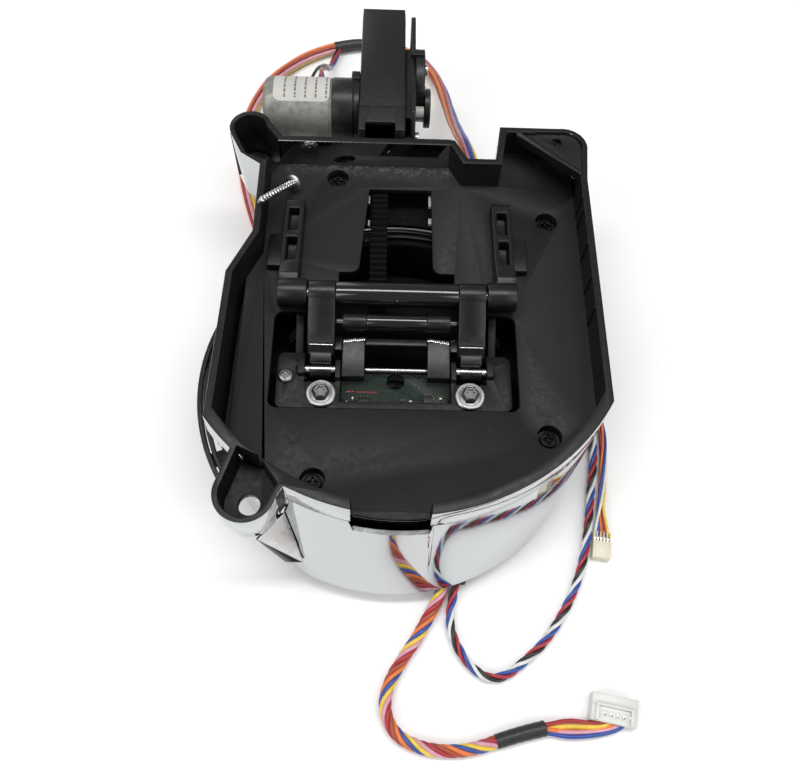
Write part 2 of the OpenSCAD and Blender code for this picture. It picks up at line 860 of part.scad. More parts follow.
module lift_arm()
{
    color([0.07, 0.07, 0.075])
    {
        both_sides() difference()
        {
            union()
            {
                x_rod(link_in, link_out, pivot_a, hub_r);
                yz_plate(link_in, link_out) polygon([
                    pivot_a + [-1, 3.8], pivot_a + [-11.5, -0.8], pivot_a + [-13, -2.4],
                    pivot_a + [-17, -3.6], pivot_a + [-19.5, -7], pivot_a + [-19.5, -12.2],
                    pivot_a + [-4, -4.4], pivot_a + [-1, -4.2]]);
                yz_plate(21.4, 28.6) bar_2d(pivot_b, pivot_b + [4, 1.2], 3);
            }
            x_rod(link_in + 2 - 0.2, link_out + 1, pivot_a, arm_pin_r + fit);
            x_rod(20, 30, pivot_b, carriage_pin_r + fit);
            box([20, pivot_b[0] - 1.2, pivot_b[1]], [30, pivot_b[0] + 1.2, pivot_b[1] + 6]);
            x_rod(link_in - 1, link_in + 1.5, shaft_at, 1.6);
        }
        difference()
        {
            union()
            {
                both_sides() yz_plate(10.4, 18) polygon([
                    pivot_b + [-3.2, -2.2], pivot_b + [-3.2, 1.6], pivot_b + [9, 4.2],
                    pivot_b + [11, 2.4], pivot_b + [11, -0.6], pivot_b + [2, -2.4]]);
                both_sides() yz_plate(17.9, link_in + nil) translate(pivot_b + [6, -1]) square([5, 4]);
                yz_plate(-10.5, 10.5) translate(pivot_b + [8.4, -0.4]) square([2.6, 3]);
            }
            x_rod(-12, 12, pivot_b + [0.2, 0], 0.8);
        }
    }
}

module cross_bar()
{
    color([0.09, 0.09, 0.1]) difference()
    {
        x_rod(-link_in + 0.02, link_in - 0.02, pivot_a, bar_r);
        translate([0, pivot_a[0] - 3.6, pivot_a[1] + 4.2]) sphere(1.4);
    }
}

module arm_shaft()
{
    color([0.09, 0.09, 0.1])
    {
        x_rod(-link_in - 1.4, link_in + 1.4, shaft_at, 1.55);
        x_rod(-9.98, 9.98, shaft_at, 2.85);
    }
}

module shaft_collars()
{
    color([0.1, 0.1, 0.1]) both_sides() difference()
    {
        x_rod(10, 17.8, shaft_at, 3);
        x_rod(9, 19, shaft_at, 1.57);
    }
}

module front_rod()
{
    color([0.45, 0.45, 0.46]) x_rod(-11.6, 11.6, pivot_b + [0.2, 0], 0.78);
}

module sector_gear()
{
    steps = [for (i = [-2:3]) i];
    color([0.1, 0.1, 0.105]) difference()
    {
        translate([rack_x - rack_w / 2, 0, 0]) rotate([90, 0, 90]) linear_extrude(rack_w)
            translate(pivot_a)
            {
                difference()
                {
                    circle(sector_r - gear_m * 1.2);
                    rotate(-40) translate([0, -20]) square([20, 60]);
                    rotate(-150) translate([0, -60]) square([20, 80]);
                    translate([-20, 1]) square([40, 20]);
                }
                for (i = steps) rotate(-90 + i * 360 / sector_teeth)
                    gear_tooth(gear_m, sector_teeth, backlash);
            }
        x_rod(-20, 10, pivot_a, bar_r + 0.02);
    }
}

// ---------- guide links and carriage ----------

module guide_links()
{
    color([0.12, 0.12, 0.13]) both_sides() difference()
    {
        yz_plate(31.6, 34.4) bar_2d(pivot_e, pivot_f, 2.4);
        x_rod(31, 35, pivot_e, link_pin_r + fit);
        x_rod(31, 35, pivot_f, link_pin_r + open_fit);
    }
}

module carriage_bracket()
{
    t = boss_top - 0.6 - bracket_z;
    color([0.06, 0.06, 0.065])
    {
        difference()
        {
            union()
            {
                translate([0, 0, bracket_z]) linear_extrude(t) difference()
                {
                    round_rect([-39.6, -11.9], [38.6, 8.6], 2.4);
                    for (s = [-1, 1]) translate([s * 24.3 - 6, -2.2]) square([12, 12.4]);
                    translate([-18.4, -9.2]) square([36.8, 20]);
                }
                both_sides() translate([flange_at[0], flange_at[1], plate_top])
                    cylinder(r = 4.4, h = boss_top - plate_top);
                both_sides() yz_plate(35.2, 37) translate([pivot_f[0] - 2.7, plate_top])
                    square([5.4, bracket_z - plate_top + 1]);
                both_sides() yz_plate(29.8, 31.3) translate([pivot_f[0] - 2.7, plate_top])
                    square([5.4, bracket_z - plate_top + 1]);
                both_sides() yz_plate(30.3, 32.5) translate([pivot_b[0] - 2.6, bracket_z])
                    square([5.2, 5.4]);
                both_sides() yz_plate(18.35, 20.1) union()
                {
                    translate([-9, bracket_z]) square([9, t]);
                    translate([-1.7, bracket_z]) square([6.6, 5.2]);
                }
            }
            both_sides() x_rod(29, 38, pivot_f, link_pin_r);
            both_sides() x_rod(18, 33, pivot_b, carriage_pin_r);
            both_sides() translate([flange_at[0], flange_at[1], 26]) cylinder(r = 1.25, h = 20);
            translate([-36.5, -0.5, bracket_z - 1]) cylinder(r = 1, h = 10);
            box([-34.6, -0.6, plate_top], [-31.4, 5.2, bracket_z]);
            box([31.4, -0.6, plate_top], [34.6, 5.2, bracket_z]);
        }
    }
}

module flange_screws()
{
    color([0.4, 0.4, 0.41]) both_sides()
        translate([flange_at[0], flange_at[1], boss_top + 0.82]) screw(2.9, 2.2, 1.24, 8);
}

module flange_washers()
{
    color([0.72, 0.72, 0.7]) both_sides()
        translate([flange_at[0], flange_at[1], boss_top + 0.01]) difference()
        {
            cylinder(r = 4.9, h = 0.8);
            translate([0, 0, -1]) cylinder(r = 1.6, h = 3);
        }
}

module bracket_screw()
{
    color([0.25, 0.25, 0.26]) translate([-36.5, -0.5, boss_top - 0.59])
        screw(2.7, 1.3, 0.98, 2.6);
}

module carriage_pins()
{
    color([0.82, 0.82, 0.82]) both_sides()
    {
        x_rod(18.5, 32.4, pivot_b, carriage_pin_r);
        x_rod(29.3, 36.9, pivot_f, link_pin_r);
    }
}

module carrier_board()
{
    color([0.03, 0.3, 0.14]) translate([0, 0, 29.6]) linear_extrude(1.6) difference()
    {
        translate([-18.2, -11.4]) square([36.4, 14.2]);
        circle(r = 3, $fn = 32);
    }
}

module board_connector()
{
    color([0.9, 0.88, 0.8]) difference()
    {
        box([-7, -6.6, 25.2], [5, -2.2, 29.58]);
        box([-6, -5.8, 24], [4, -1, 28.6]);
    }
}

module scanner_base()
{
    color([0.1, 0.1, 0.1]) difference()
    {
        union()
        {
            translate([0, 0, plate_z]) cylinder(r = head_r, h = plate_t, $fn = 128);
            translate([0, 0, plate_z - 1.6]) cylinder(r = 9, h = 6);
        }
        translate([0, 0, 10]) cylinder(r = hub_hole_r, h = 20);
        both_sides() box([30.9, 6, 10], [38.4, 40, 30]);
        for (a = [45:90:315]) rotate(a) translate([post_r, 0, 10]) cylinder(r = 1.3, h = 20);
    }
}

// Round cap on four posts, the part that meets the robot's surroundings
module head_cap()
{
    color([0.05, 0.05, 0.055])
    {
        translate([0, 0, cap_lift]) cylinder(r = head_r, h = cap_t, $fn = 128);
        for (a = [45:90:315]) rotate(a) translate([post_r, 0, cap_lift + cap_t - nil])
        {
            cylinder(r = 2.4, h = plate_z - cap_lift - cap_t - 0.02, $fn = 32);
            cylinder(r = 1.28, h = plate_z - cap_lift - cap_t + 2, $fn = 32);
        }
    }
}

module spin_stator()
{
    color([0.72, 0.45, 0.2]) translate([0, 0, plate_z - 1.62 - 2.4])
    {
        difference()
        {
            union()
            {
                cylinder(r = 9.4, h = 2.4);
                for (a = [0:40:320]) rotate(a) translate([9, -1.8, 0]) cube([5.4, 3.6, 2.2]);
            }
            translate([0, 0, -1]) cylinder(r = 6.6, h = 5);
        }
    }
}

module spin_bearing()
{
    color([0.75, 0.76, 0.78]) translate([0, 0, plate_z - 1.4]) difference()
    {
        cylinder(r = hub_hole_r, h = 5);
        translate([0, 0, -1]) cylinder(r = 3 + fit, h = 8);
    }
}

module encoder_ring()
{
    color([0.08, 0.08, 0.08]) translate([0, 0, plate_z - 2.6]) difference()
    {
        cylinder(r = 43, h = 2.58, $fn = 96);
        translate([0, 0, -1]) cylinder(r = 41.6, h = 5, $fn = 96);
        for (a = [0:24:336]) rotate(a) translate([40, -1.4, -1]) cube([5, 2.8, 2.4]);
    }
}

// ---------- spinning turret ----------

module turret_shell()
{
    z0 = turret_z[0];
    z1 = turret_z[1];
    color([0.05, 0.05, 0.055]) difference()
    {
        translate([0, 0, z0]) cylinder(r = turret_r, h = z1 - z0 - 0.8, $fn = 96);
        translate([0, 0, z0 + 1.6]) cylinder(r = turret_r - 1.6, h = 20, $fn = 96);
        for (x = [-16, 16]) translate([x, -turret_r + 7, z0 + 4.6]) rotate([90, 0, 0])
            cylinder(r = (x < 0) ? 3.3 : 4, h = 12);
        translate([0, 0, z0 - 1]) cylinder(r = 2.6, h = 5);
    }
}

module turret_hub()
{
    color([0.7, 0.7, 0.72])
    {
        translate([0, 0, turret_z[0] + 1.62]) cylinder(r = 5.4, h = 5.2);
        translate([0, 0, turret_z[0] + 1.62]) cylinder(r = 3, h = 15.2);
    }
}

module magnet_ring()
{
    color([0.3, 0.3, 0.32]) translate([0, 0, 12.6]) difference()
    {
        cylinder(r = 18, h = 3.4);
        translate([0, 0, -1]) cylinder(r = 15.4, h = 6);
    }
}

module turret_board()
{
    color([0.03, 0.28, 0.15]) translate([0, 0, 11]) difference()
    {
        cylinder(r = turret_r - 2, h = 1.58, $fn = 96);
        translate([0, 0, -1]) cylinder(r = 5.42, h = 5);
        translate([-30, -50, -1]) cube([60, 33, 5]);
    }
}

module barrel(x, r)
{
    translate([x, -19, turret_z[0] + 4.6]) rotate([90, 0, 0]) difference()
    {
        cylinder(r = r, h = 14.6);
        translate([0, 0, 1.2]) cylinder(r = r - 1, h = 20);
    }
}

module emitter_barrel() { color([0.15, 0.15, 0.15]) barrel(-16, 2.9); }
module receiver_barrel() { color([0.12, 0.12, 0.12]) barrel(16, 2.9); }

module turret_lenses()
{
    color([0.3, 0.1, 0.1]) for (x = [-16, 16])
        translate([x, -30.4, turret_z[0] + 4.6]) rotate([90, 0, 0]) cylinder(r = 1.88, h = 1.6);
}

// ---------- moving drive parts ----------

module lift_rack()
{
    color([0.1, 0.1, 0.105]) translate([rack_x - rack_w / 2, 0, 0]) rotate([90, 0, 90])
        linear_extrude(rack_w) translate([0, rack_z]) rack_2d(rack_y0, rack_y1, 3.2, backlash);
}

module drive_pinion()
{
    // The pinion's phase puts a tooth in the rack gap under its axis
    pitch = PI * gear_m;
    gap = (pinion_y - pivot_a[0]) / pitch;
    shift = (gap - floor(gap)) * 360 / pinion_teeth;
    color([0.88, 0.86, 0.8])
    {
        translate([rack_x - rack_w / 2, pinion_y, motor_z]) rotate([90, 0, 90])
            linear_extrude(rack_w)
            {
                circle(pinion_r - gear_m * 1.2);
                for (i = [0:pinion_teeth - 1]) rotate(-90 - shift + i * 360 / pinion_teeth)
                    gear_tooth(gear_m, pinion_teeth, backlash);
            }
        x_rod(-17.8, 9.4, [pinion_y, motor_z], 2);
    }
}

// ---------- leads ----------

module sleeve(route, span, r)
{
    lead(stretch(route, span[0], span[1]), r);
}

module main_lead() { color([0.85, 0.35, 0.15]) lead(main_route, main_r); }
module main_lead_sleeve() { color([0.05, 0.05, 0.05]) sleeve(main_route, sleeve_main, 2.35); }
module loop_lead() { color([0.2, 0.2, 0.25]) lead(loop_route, loop_r); }
module sensor_lead() { color([0.7, 0.7, 0.6]) lead(sensor_route, sensor_r); }
module rear_harness() { color([0.9, 0.4, 0.15]) lead(rear_route, rear_r); }
module motor_lead() { color([0.6, 0.1, 0.1]) lead(motor_lead_route, motor_lead_r); }

module rear_harness_sleeve()
{
    color([0.04, 0.04, 0.045]) sleeve(rear_route, sleeve_rear, 2.65);
}

module main_lead_plug()
{
    color([0.92, 0.91, 0.86]) translate([70.4, -99.8, 0]) rotate(-11) difference()
    {
        union()
        {
            translate([-7.4, -4.4, 0.05]) cube([14.8, 8.6, 5.4]);
            translate([-6.2, -4.4, 5.4]) cube([12.4, 5, 0.8]);
        }
        for (x = [-5:2:5]) translate([x - 0.6, 2, 1.6]) cube([1.2, 4, 2.2]);
    }
}

module sensor_lead_plug()
{
    color([0.9, 0.85, 0.7]) translate([72.2, -46.6, 0]) rotate(-9) difference()
    {
        translate([-3.2, -5, 0.05]) cube([6.4, 10, 3.8]);
        for (x = [-2.2:1.1:2.2]) translate([x - 0.3, -6, 1.3]) cube([0.6, 3, 1.3]);
    }
}

housing_tray();
mirror_band();
drum_shell();
guard_hoop();
base_ring();
rear_cover();
ear_gusset();
case_screws();
hinge_bracket_left();
hinge_bracket_right();
arm_pivot_pins();
link_pivot_pins();
cable_grommets();
gearbox_case();
gearbox_cover();
gear_hub_cover();
gearbox_screws();
limit_switch();
motor_can();
motor_end_cap();
motor_label();
mounting_screw();
lift_arm();
cross_bar();
arm_shaft();
shaft_collars();
front_rod();
sector_gear();
guide_links();
carriage_bracket();
flange_screws();
flange_washers();
bracket_screw();
carriage_pins();
carrier_board();
board_connector();
scanner_base();
head_cap();
spin_stator();
spin_bearing();
encoder_ring();
turret_shell();
turret_hub();
magnet_ring();
turret_board();
emitter_barrel();
receiver_barrel();
turret_lenses();
lift_rack();
drive_pinion();
main_lead();
main_lead_sleeve();
main_lead_plug();
loop_lead();
sensor_lead();
sensor_lead_plug();
rear_harness();
rear_harness_sleeve();
motor_lead();
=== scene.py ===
"""Looks of the lidar scanner module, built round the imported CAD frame. Lengths are millimetres until
they reach Blender, which works in metres."""

import json
import math
import random

import bmesh
import bpy
from mathutils import Matrix, Vector
from mathutils.bvhtree import BVHTree

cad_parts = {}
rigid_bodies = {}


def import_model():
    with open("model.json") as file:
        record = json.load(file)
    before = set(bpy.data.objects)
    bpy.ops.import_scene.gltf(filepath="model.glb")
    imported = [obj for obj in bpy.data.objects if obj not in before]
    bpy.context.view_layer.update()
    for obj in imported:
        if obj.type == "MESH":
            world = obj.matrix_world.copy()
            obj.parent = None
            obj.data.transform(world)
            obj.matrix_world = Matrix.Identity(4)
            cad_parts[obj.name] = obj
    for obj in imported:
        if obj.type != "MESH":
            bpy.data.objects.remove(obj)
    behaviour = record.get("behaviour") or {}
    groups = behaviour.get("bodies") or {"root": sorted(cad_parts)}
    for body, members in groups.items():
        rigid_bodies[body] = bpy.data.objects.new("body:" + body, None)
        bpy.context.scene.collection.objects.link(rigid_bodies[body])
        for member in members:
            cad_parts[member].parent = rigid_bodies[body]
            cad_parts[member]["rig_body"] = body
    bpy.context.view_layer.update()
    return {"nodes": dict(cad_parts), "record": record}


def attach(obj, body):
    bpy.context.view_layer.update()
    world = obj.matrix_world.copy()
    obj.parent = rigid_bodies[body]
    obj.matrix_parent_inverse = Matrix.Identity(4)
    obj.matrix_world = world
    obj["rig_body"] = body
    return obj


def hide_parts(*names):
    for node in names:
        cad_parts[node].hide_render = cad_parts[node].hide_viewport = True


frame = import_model()

MM = 0.001
NODES = frame["nodes"]
SLOT_OF = {s["node"]: s["material_slot"] for s in frame["record"]["subparts"]}


def point(x, y, z):
    """A point given in millimetres, as a vector in metres."""
    return Vector((x, y, z)) * MM


# ---------- materials ----------


class Graph:
    """A material's node tree, with short ways to add and join nodes."""

    def __init__(self, name):
        self.material = bpy.data.materials.new(name)
        self.material.use_nodes = True
        self.tree = self.material.node_tree
        self.shader = self.tree.nodes["Principled BSDF"]
        coordinates = self.tree.nodes.new("ShaderNodeTexCoord")
        self.place = coordinates.outputs["Object"]

    def add(self, kind, **values):
        node = self.tree.nodes.new(kind)
        for key, value in values.items():
            if hasattr(node, key):
                setattr(node, key, value)
            else:
                node.inputs[key.replace("_", " ")].default_value = value
        return node

    def link(self, source, target):
        self.tree.links.new(source, target)

    def noise(self, size_mm, detail=3.0, stretch=(1, 1, 1), seed=0.0):
        """Noise whose features are about size_mm across."""
        mapping = self.add("ShaderNodeMapping")
        mapping.inputs["Scale"].default_value = [s / (size_mm * MM) for s in stretch]
        mapping.inputs["Location"].default_value = (seed, seed * 1.7, seed * 0.6)
        self.link(self.place, mapping.inputs["Vector"])
        noise = self.add("ShaderNodeTexNoise")
        noise.inputs["Scale"].default_value = 1.0
        noise.inputs["Detail"].default_value = detail
        self.link(mapping.outputs["Vector"], noise.inputs["Vector"])
        return noise.outputs["Fac"]

    def spread(self, source, low, high, start=0.3, end=0.7):
        """Maps a 0 to 1 pattern onto low to high."""
        spread = self.add("ShaderNodeMapRange")
        spread.inputs["From Min"].default_value = start
        spread.inputs["From Max"].default_value = end
        spread.inputs["To Min"].default_value = low
        spread.inputs["To Max"].default_value = high
        self.link(source, spread.inputs["Value"])
        return spread.outputs["Result"]

    def mix(self, source, first, second, start=0.35, end=0.65):
        """Two colours mixed by a pattern."""
        factor = self.spread(source, 0.0, 1.0, start, end)
        mix = self.add("ShaderNodeMix", data_type="RGBA")
        self.link(factor, mix.inputs["Factor"])
        for socket, value in (("A", first), ("B", second)):
            target = [i for i in mix.inputs if i.name == socket and i.type == "RGBA"][0]
            if hasattr(value, "links"):
                self.link(value, target)
            else:
                target.default_value = (*value, 1.0)
        return [o for o in mix.outputs if o.type == "RGBA"][0]

    def bump(self, source, depth_mm, before=None):
        bump = self.add("ShaderNodeBump")
        bump.inputs["Strength"].default_value = 1.0
        bump.inputs["Distance"].default_value = depth_mm * MM
        self.link(source, bump.inputs["Height"])
        if before is not None:
            self.link(before, bump.inputs["Normal"])
        return bump.outputs["Normal"]

    def set(self, **values):
        for key, value in values.items():
            socket = self.shader.inputs[key.replace("_", " ")]
            if hasattr(value, "links"):
                self.link(value, socket)
            else:
                socket.default_value = value


def shade(colour, factor):
    return tuple(min(1.0, c * factor) for c in colour)


def plastic(name, colour, roughness, grain_mm, grain_depth, specular=0.5, worn=0.12, coat=0.0):
    """Moulded plastic: eroded-texture grain, faint flow marks and uneven gloss."""
    g = Graph(name)
    grain = g.noise(grain_mm, 2.0)
    flow = g.noise(9.0, 3.0, (1, 0.35, 1), 3.1)
    rubs = g.noise(1.6, 5.0, (1, 1, 0.4), 7.3)
    tone = g.mix(flow, shade(colour, 1 - worn), shade(colour, 1 + worn))
    g.set(
        Base_Color=g.mix(rubs, tone, shade(colour, 1 + 3 * worn), 0.62, 0.85),
        Roughness=g.spread(rubs, roughness * 0.86, min(1.0, roughness * 1.18)),
        Normal=g.bump(grain, grain_depth),
        Specular_IOR_Level=specular,
        Coat_Weight=coat,
        Coat_Roughness=0.12,
    )
    return g.material


def mirror_film(name, colour, roughness):
    """Bright film on a moulded wall, with slight waves and a few handling marks."""
    g = Graph(name)
    waves = g.noise(14.0, 1.0, (1, 1, 0.5), 1.3)
    marks = g.noise(0.9, 6.0, (1, 1, 1), 5.9)
    smears = g.noise(6.0, 4.0, (0.5, 0.5, 1.4), 2.2)
    g.set(
        Base_Color=g.mix(marks, colour, shade(colour, 0.78), 0.64, 0.8),
        Metallic=1.0,
        Roughness=g.spread(smears, roughness * 0.7, roughness * 2.2, 0.35, 0.8),
        Normal=g.bump(waves, 0.06),
    )
    return g.material


def metal(name, colour, roughness, turning_mm=0.25, stretch=(0.06, 1, 1), stain=0.12, depth=0.004):
    """Turned or drawn metal: fine lines along one way and patches of dull oxide."""
    g = Graph(name)
    lines = g.noise(turning_mm, 2.0, stretch)
    patches = g.noise(3.5, 4.0, (1, 1, 1), 4.4)
    g.set(
        Base_Color=g.mix(patches, colour, shade(colour, 1 - 2 * stain), 0.45, 0.75),
        Metallic=1.0,
        Roughness=g.spread(patches, roughness * 0.8, roughness * 1.45),
        Normal=g.bump(lines, depth),
    )
    return g.material


def wire_skin(name, colour):
    """Soft PVC with a faint satin and slightly uneven colour."""
    g = Graph(name)
    tone = g.noise(2.5, 3.0, (1, 1, 1), 1.1)
    dents = g.noise(0.7, 2.0, (1, 1, 1), 6.2)
    g.set(
        Base_Color=g.mix(tone, shade(colour, 0.88), shade(colour, 1.08)),
        Roughness=g.spread(dents, 0.3, 0.46),
        Normal=g.bump(dents, 0.02),
        Specular_IOR_Level=0.5,
        Sheen_Weight=0.05,
    )
    return g.material


def circuit_board(name):
    """Green solder mask with copper tracks under it."""
    g = Graph(name)
    brick = g.add("ShaderNodeTexBrick", offset=0.35, squash=1.4, squash_frequency=3)
    mapping = g.add("ShaderNodeMapping")
    mapping.inputs["Scale"].default_value = (430, 430, 430)
    g.link(g.place, mapping.inputs["Vector"])
    g.link(mapping.outputs["Vector"], brick.inputs["Vector"])
    brick.inputs["Color1"].default_value = (0.0009, 0.006, 0.0033, 1)
    brick.inputs["Color2"].default_value = (0.0011, 0.0085, 0.0045, 1)
    brick.inputs["Mortar"].default_value = (0.002, 0.017, 0.008, 1)
    brick.inputs["Mortar Size"].default_value = 0.06
    dust = g.noise(1.2, 4.0)
    g.set(
        Base_Color=g.mix(dust, brick.outputs["Color"], (0.004, 0.011, 0.007), 0.6, 0.9),
        Roughness=g.spread(dust, 0.22, 0.42),
        Normal=g.bump(brick.outputs["Fac"], 0.03),
    )
    return g.material


def lens_filter(name):
    """Dark red filter glass with a faint film on it."""
    g = Graph(name)
    film = g.noise(1.5, 3.0)
    g.set(
        Base_Color=g.mix(film, (0.09, 0.004, 0.006), (0.13, 0.008, 0.01)),
        Roughness=g.spread(film, 0.04, 0.1),
        Coat_Weight=0.6,
        Coat_Roughness=0.03,
    )
    return g.material


def floor_paper(name):
    """Seamless pale paper with a faint fibre."""
    g = Graph(name)
    fibre = g.noise(2.2, 4.0)
    cloud = g.noise(180.0, 2.0)
    g.set(
        Base_Color=g.mix(cloud, (0.86, 0.86, 0.865), (0.9, 0.9, 0.9)),
        Roughness=g.spread(fibre, 0.75, 0.9),
        Normal=g.bump(fibre, 0.01),
        Specular_IOR_Level=0.2,
    )
    return g.material


LOOK = {
    "matte_black_tray": plastic("tray_plastic", (0.0078, 0.0073, 0.0068), 0.5, 0.32, 0.016, 0.26),
    "tray_wall_plastic": plastic("wall_plastic", (0.006, 0.0059, 0.0058), 0.4, 0.5, 0.005, 0.3),
    "mirror_film": mirror_film("mirror_film", (0.53, 0.545, 0.55), 0.045),
    "black_cover": plastic("cover_plastic", (0.0085, 0.0085, 0.009), 0.36, 0.4, 0.008, 0.36),
    "black_acetal": plastic("acetal_black", (0.0045, 0.0045, 0.0048), 0.34, 0.2, 0.014, 0.4),
    "gloss_black": plastic("gloss_plastic", (0.005, 0.005, 0.0055), 0.13, 0.9, 0.003, 0.6, coat=0.3),
    # Darker, rougher black for pieces that sit in shadow: painted shade rather than their own colour.
    "painted_shade_black": plastic("painted_shade_plastic", (0.003, 0.003, 0.0033), 0.75, 0.4, 0.01, 0.12),
    "soft_mirror": mirror_film("soft_mirror", (0.6, 0.61, 0.6), 0.3),
    "black_part": plastic("part_plastic", (0.009, 0.009, 0.0095), 0.42, 0.3, 0.01, 0.35),
    "bright_steel": metal("bright_steel", (0.6, 0.6, 0.585), 0.24),
    "dark_steel": metal("dark_steel", (0.2, 0.2, 0.205), 0.34),
    "washer_steel": metal("washer_steel", (0.46, 0.46, 0.45), 0.3),
    "black_oxide": metal("black_oxide", (0.012, 0.012, 0.013), 0.45),
    "grommet_rubber": plastic("rubber", (0.02, 0.02, 0.02), 0.7, 0.5, 0.03, 0.3),
    "motor_zinc": metal("motor_zinc", (0.31, 0.31, 0.285), 0.62, 0.5, (1, 0.08, 0.08), 0.06, 0.004),
    "label_paper": plastic("label_paper", (0.46, 0.455, 0.425), 0.55, 0.35, 0.006, 0.35, 0.05),
    "white_acetal": plastic("acetal_white", (0.4, 0.395, 0.37), 0.4, 0.5, 0.01, 0.5, 0.05),
    "green_board": circuit_board("green_board"),
    "plug_nylon": plastic("plug_nylon", (0.62, 0.62, 0.59), 0.42, 0.6, 0.01, 0.5, 0.05),
    "cream_nylon": plastic("cream_nylon", (0.64, 0.6, 0.47), 0.42, 0.6, 0.01, 0.5, 0.05),
    "copper_coil": metal("copper_coil", (0.62, 0.28, 0.1), 0.35, 0.3, (1, 1, 0.1)),
    "magnet_grey": metal("magnet_grey", (0.2, 0.2, 0.21), 0.4),
    "lens_glass": lens_filter("lens_filter"),
    "sleeve_black": plastic("shrink_sleeve", (0.018, 0.018, 0.019), 0.42, 0.9, 0.05, 0.45),
    "label_ink": plastic("label_ink", (0.16, 0.13, 0.12), 0.5, 0.4, 0.004, 0.3),
}
WIRE = {
    "yellow": (0.72, 0.5, 0.05),
    "blue": (0.025, 0.065, 0.3),
    "orange": (0.68, 0.17, 0.035),
    "red": (0.36, 0.02, 0.028),
    "pink": (0.6, 0.3, 0.38),
    "rust": (0.33, 0.06, 0.03),
    "mauve": (0.34, 0.13, 0.17),
    "white": (0.66, 0.67, 0.66),
    "black": (0.012, 0.012, 0.013),
    "grey": (0.34, 0.35, 0.35),
}
for colour_name, colour_value in WIRE.items():
    LOOK["wire_" + colour_name] = wire_skin("wire_" + colour_name, colour_value)


# ---------- making pieces ----------


def from_bmesh(name, bm, looks, body, replaces=(), sharp_degrees=38):
    """Turns a bmesh into a piece: materials, smooth shading with sharp corners, and its body."""
    mesh = bpy.data.meshes.new(name)
    bm.to_mesh(mesh)
    bm.free()
    mesh.shade_smooth()
    mesh.set_sharp_from_angle(angle=math.radians(sharp_degrees))
    piece = bpy.data.objects.new(name, mesh)
    bpy.context.scene.collection.objects.link(piece)
    for look in looks:
        mesh.materials.append(LOOK[look])
    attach(piece, body)
    if replaces:
        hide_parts(*replaces)
    return piece


def cleaned(node):
    """A CAD node's mesh with its flat faces made whole again, as a bmesh."""
    bm = bmesh.new()
    bm.from_mesh(NODES[node].data)
    bmesh.ops.remove_doubles(bm, verts=bm.verts, dist=2e-6)
    bmesh.ops.dissolve_limit(
        bm, angle_limit=math.radians(0.6), verts=bm.verts, edges=bm.edges, use_dissolve_boundaries=False
    )
    return bm


def soften(bm, width_mm, degrees=35):
    """Rounds every edge that turns by more than so many degrees."""
    limit = math.radians(degrees)
    edges = [e for e in bm.edges if len(e.link_faces) == 2 and e.calc_face_angle(0) > limit]
    bmesh.ops.bevel(
        bm,
        geom=edges,
        offset=width_mm * MM,
        offset_type="OFFSET",
        segments=2,
        profile=0.5,
        affect="EDGES",
        clamp_overlap=False,
        miter_outer="ARC",
    )


def refined(node, width_mm, look=None, bright=None, film="mirror_film"):
    """A CAD node's shape with moulded or turned edges, which stands for the node.

    bright tells which faces, by middle and normal, carry the bright film."""
    bm = cleaned(node)
    soften(bm, width_mm)
    looks = [look or SLOT_OF[node]]
    if bright:
        looks.append(film)
        bm.normal_update()
        for face in bm.faces:
            face.material_index = int(bright(face.calc_center_median() / MM, face.normal))
    return from_bmesh(node + "_fine", bm, looks, NODES[node]["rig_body"], [node])


def rounded_box(bm, low, high, width_mm=0.15, segments=2):
    """Adds a box between two corners in millimetres, with rounded edges."""
    low, high = Vector(low), Vector(high)
    made = bmesh.ops.create_cube(bm, size=1.0)["verts"]
    size, middle = (high - low) * MM, (high + low) / 2 * MM
    bmesh.ops.scale(bm, vec=size, verts=made)
    edges = list({e for v in made for e in v.link_edges})
    made_faces = bmesh.ops.bevel(
        bm, geom=edges, offset=width_mm * MM, segments=segments, profile=0.5, affect="EDGES"
    )
    verts = list({v for f in made_faces["faces"] for v in f.verts} | {v for v in made if v.is_valid})
    bmesh.ops.translate(bm, vec=middle, verts=verts)
    return verts


def lathe(bm, profile, place, axis, steps=48, material=0):
    """Turns an outline of (radius, height) points in millimetres round an axis through place."""
    turn = Vector((0, 0, 1)).rotation_difference(Vector(axis)).to_matrix().to_4x4()
    place = Vector(place) * MM
    rings = []
    for radius, height in profile:
        if radius < 1e-6:
            rings.append([bm.verts.new(turn @ Vector((0, 0, height * MM)) + place)])
            continue
        ring = []
        for k in range(steps):
            a = 2 * math.pi * k / steps
            local = Vector((radius * math.cos(a), radius * math.sin(a), height)) * MM
            ring.append(bm.verts.new(turn @ local + place))
        rings.append(ring)
    for lower, upper in zip(rings, rings[1:]):
        for k in range(steps):
            after = (k + 1) % steps
            corners = []
            for ring, order in ((lower, (k, after)), (upper, (after, k))):
                corners += [ring[0]] if len(ring) == 1 else [ring[i] for i in order]
            if len(corners) >= 3:
                face = bm.faces.new(corners)
                face.material_index = material
    return rings


# ---------- cords ----------


def smooth_line(route, step_mm):
    """A smooth curve through a route's points, sampled about every step_mm."""
    pts = [Vector(p) for p in route]
    line = []
    for i in range(len(pts) - 1):
        a = pts[max(i - 1, 0)]
        b, c = pts[i], pts[i + 1]
        d = pts[min(i + 2, len(pts) - 1)]
        count = max(1, round((c - b).length / step_mm))
        for k in range(count):
            t = k / count
            line.append(
                0.5
                * (
                    2 * b
                    + (c - a) * t
                    + (2 * a - 5 * b + 4 * c - d) * t * t
                    + (3 * b - a - 3 * c + d) * t**3
                )
            )
    line.append(pts[-1])
    return line


def frames_along(line):
    """For each point of a line: the way it runs and two directions across it that never spin."""
    frames = []
    across = None
    for i, p in enumerate(line):
        along = (line[min(i + 1, len(line) - 1)] - line[max(i - 1, 0)]).normalized()
        if across is None:
            across = Vector((0, 0, 1)).cross(along).normalized()
        across = (across - along * across.dot(along)).normalized()
        frames.append((p, along, across, along.cross(across)))
    return frames


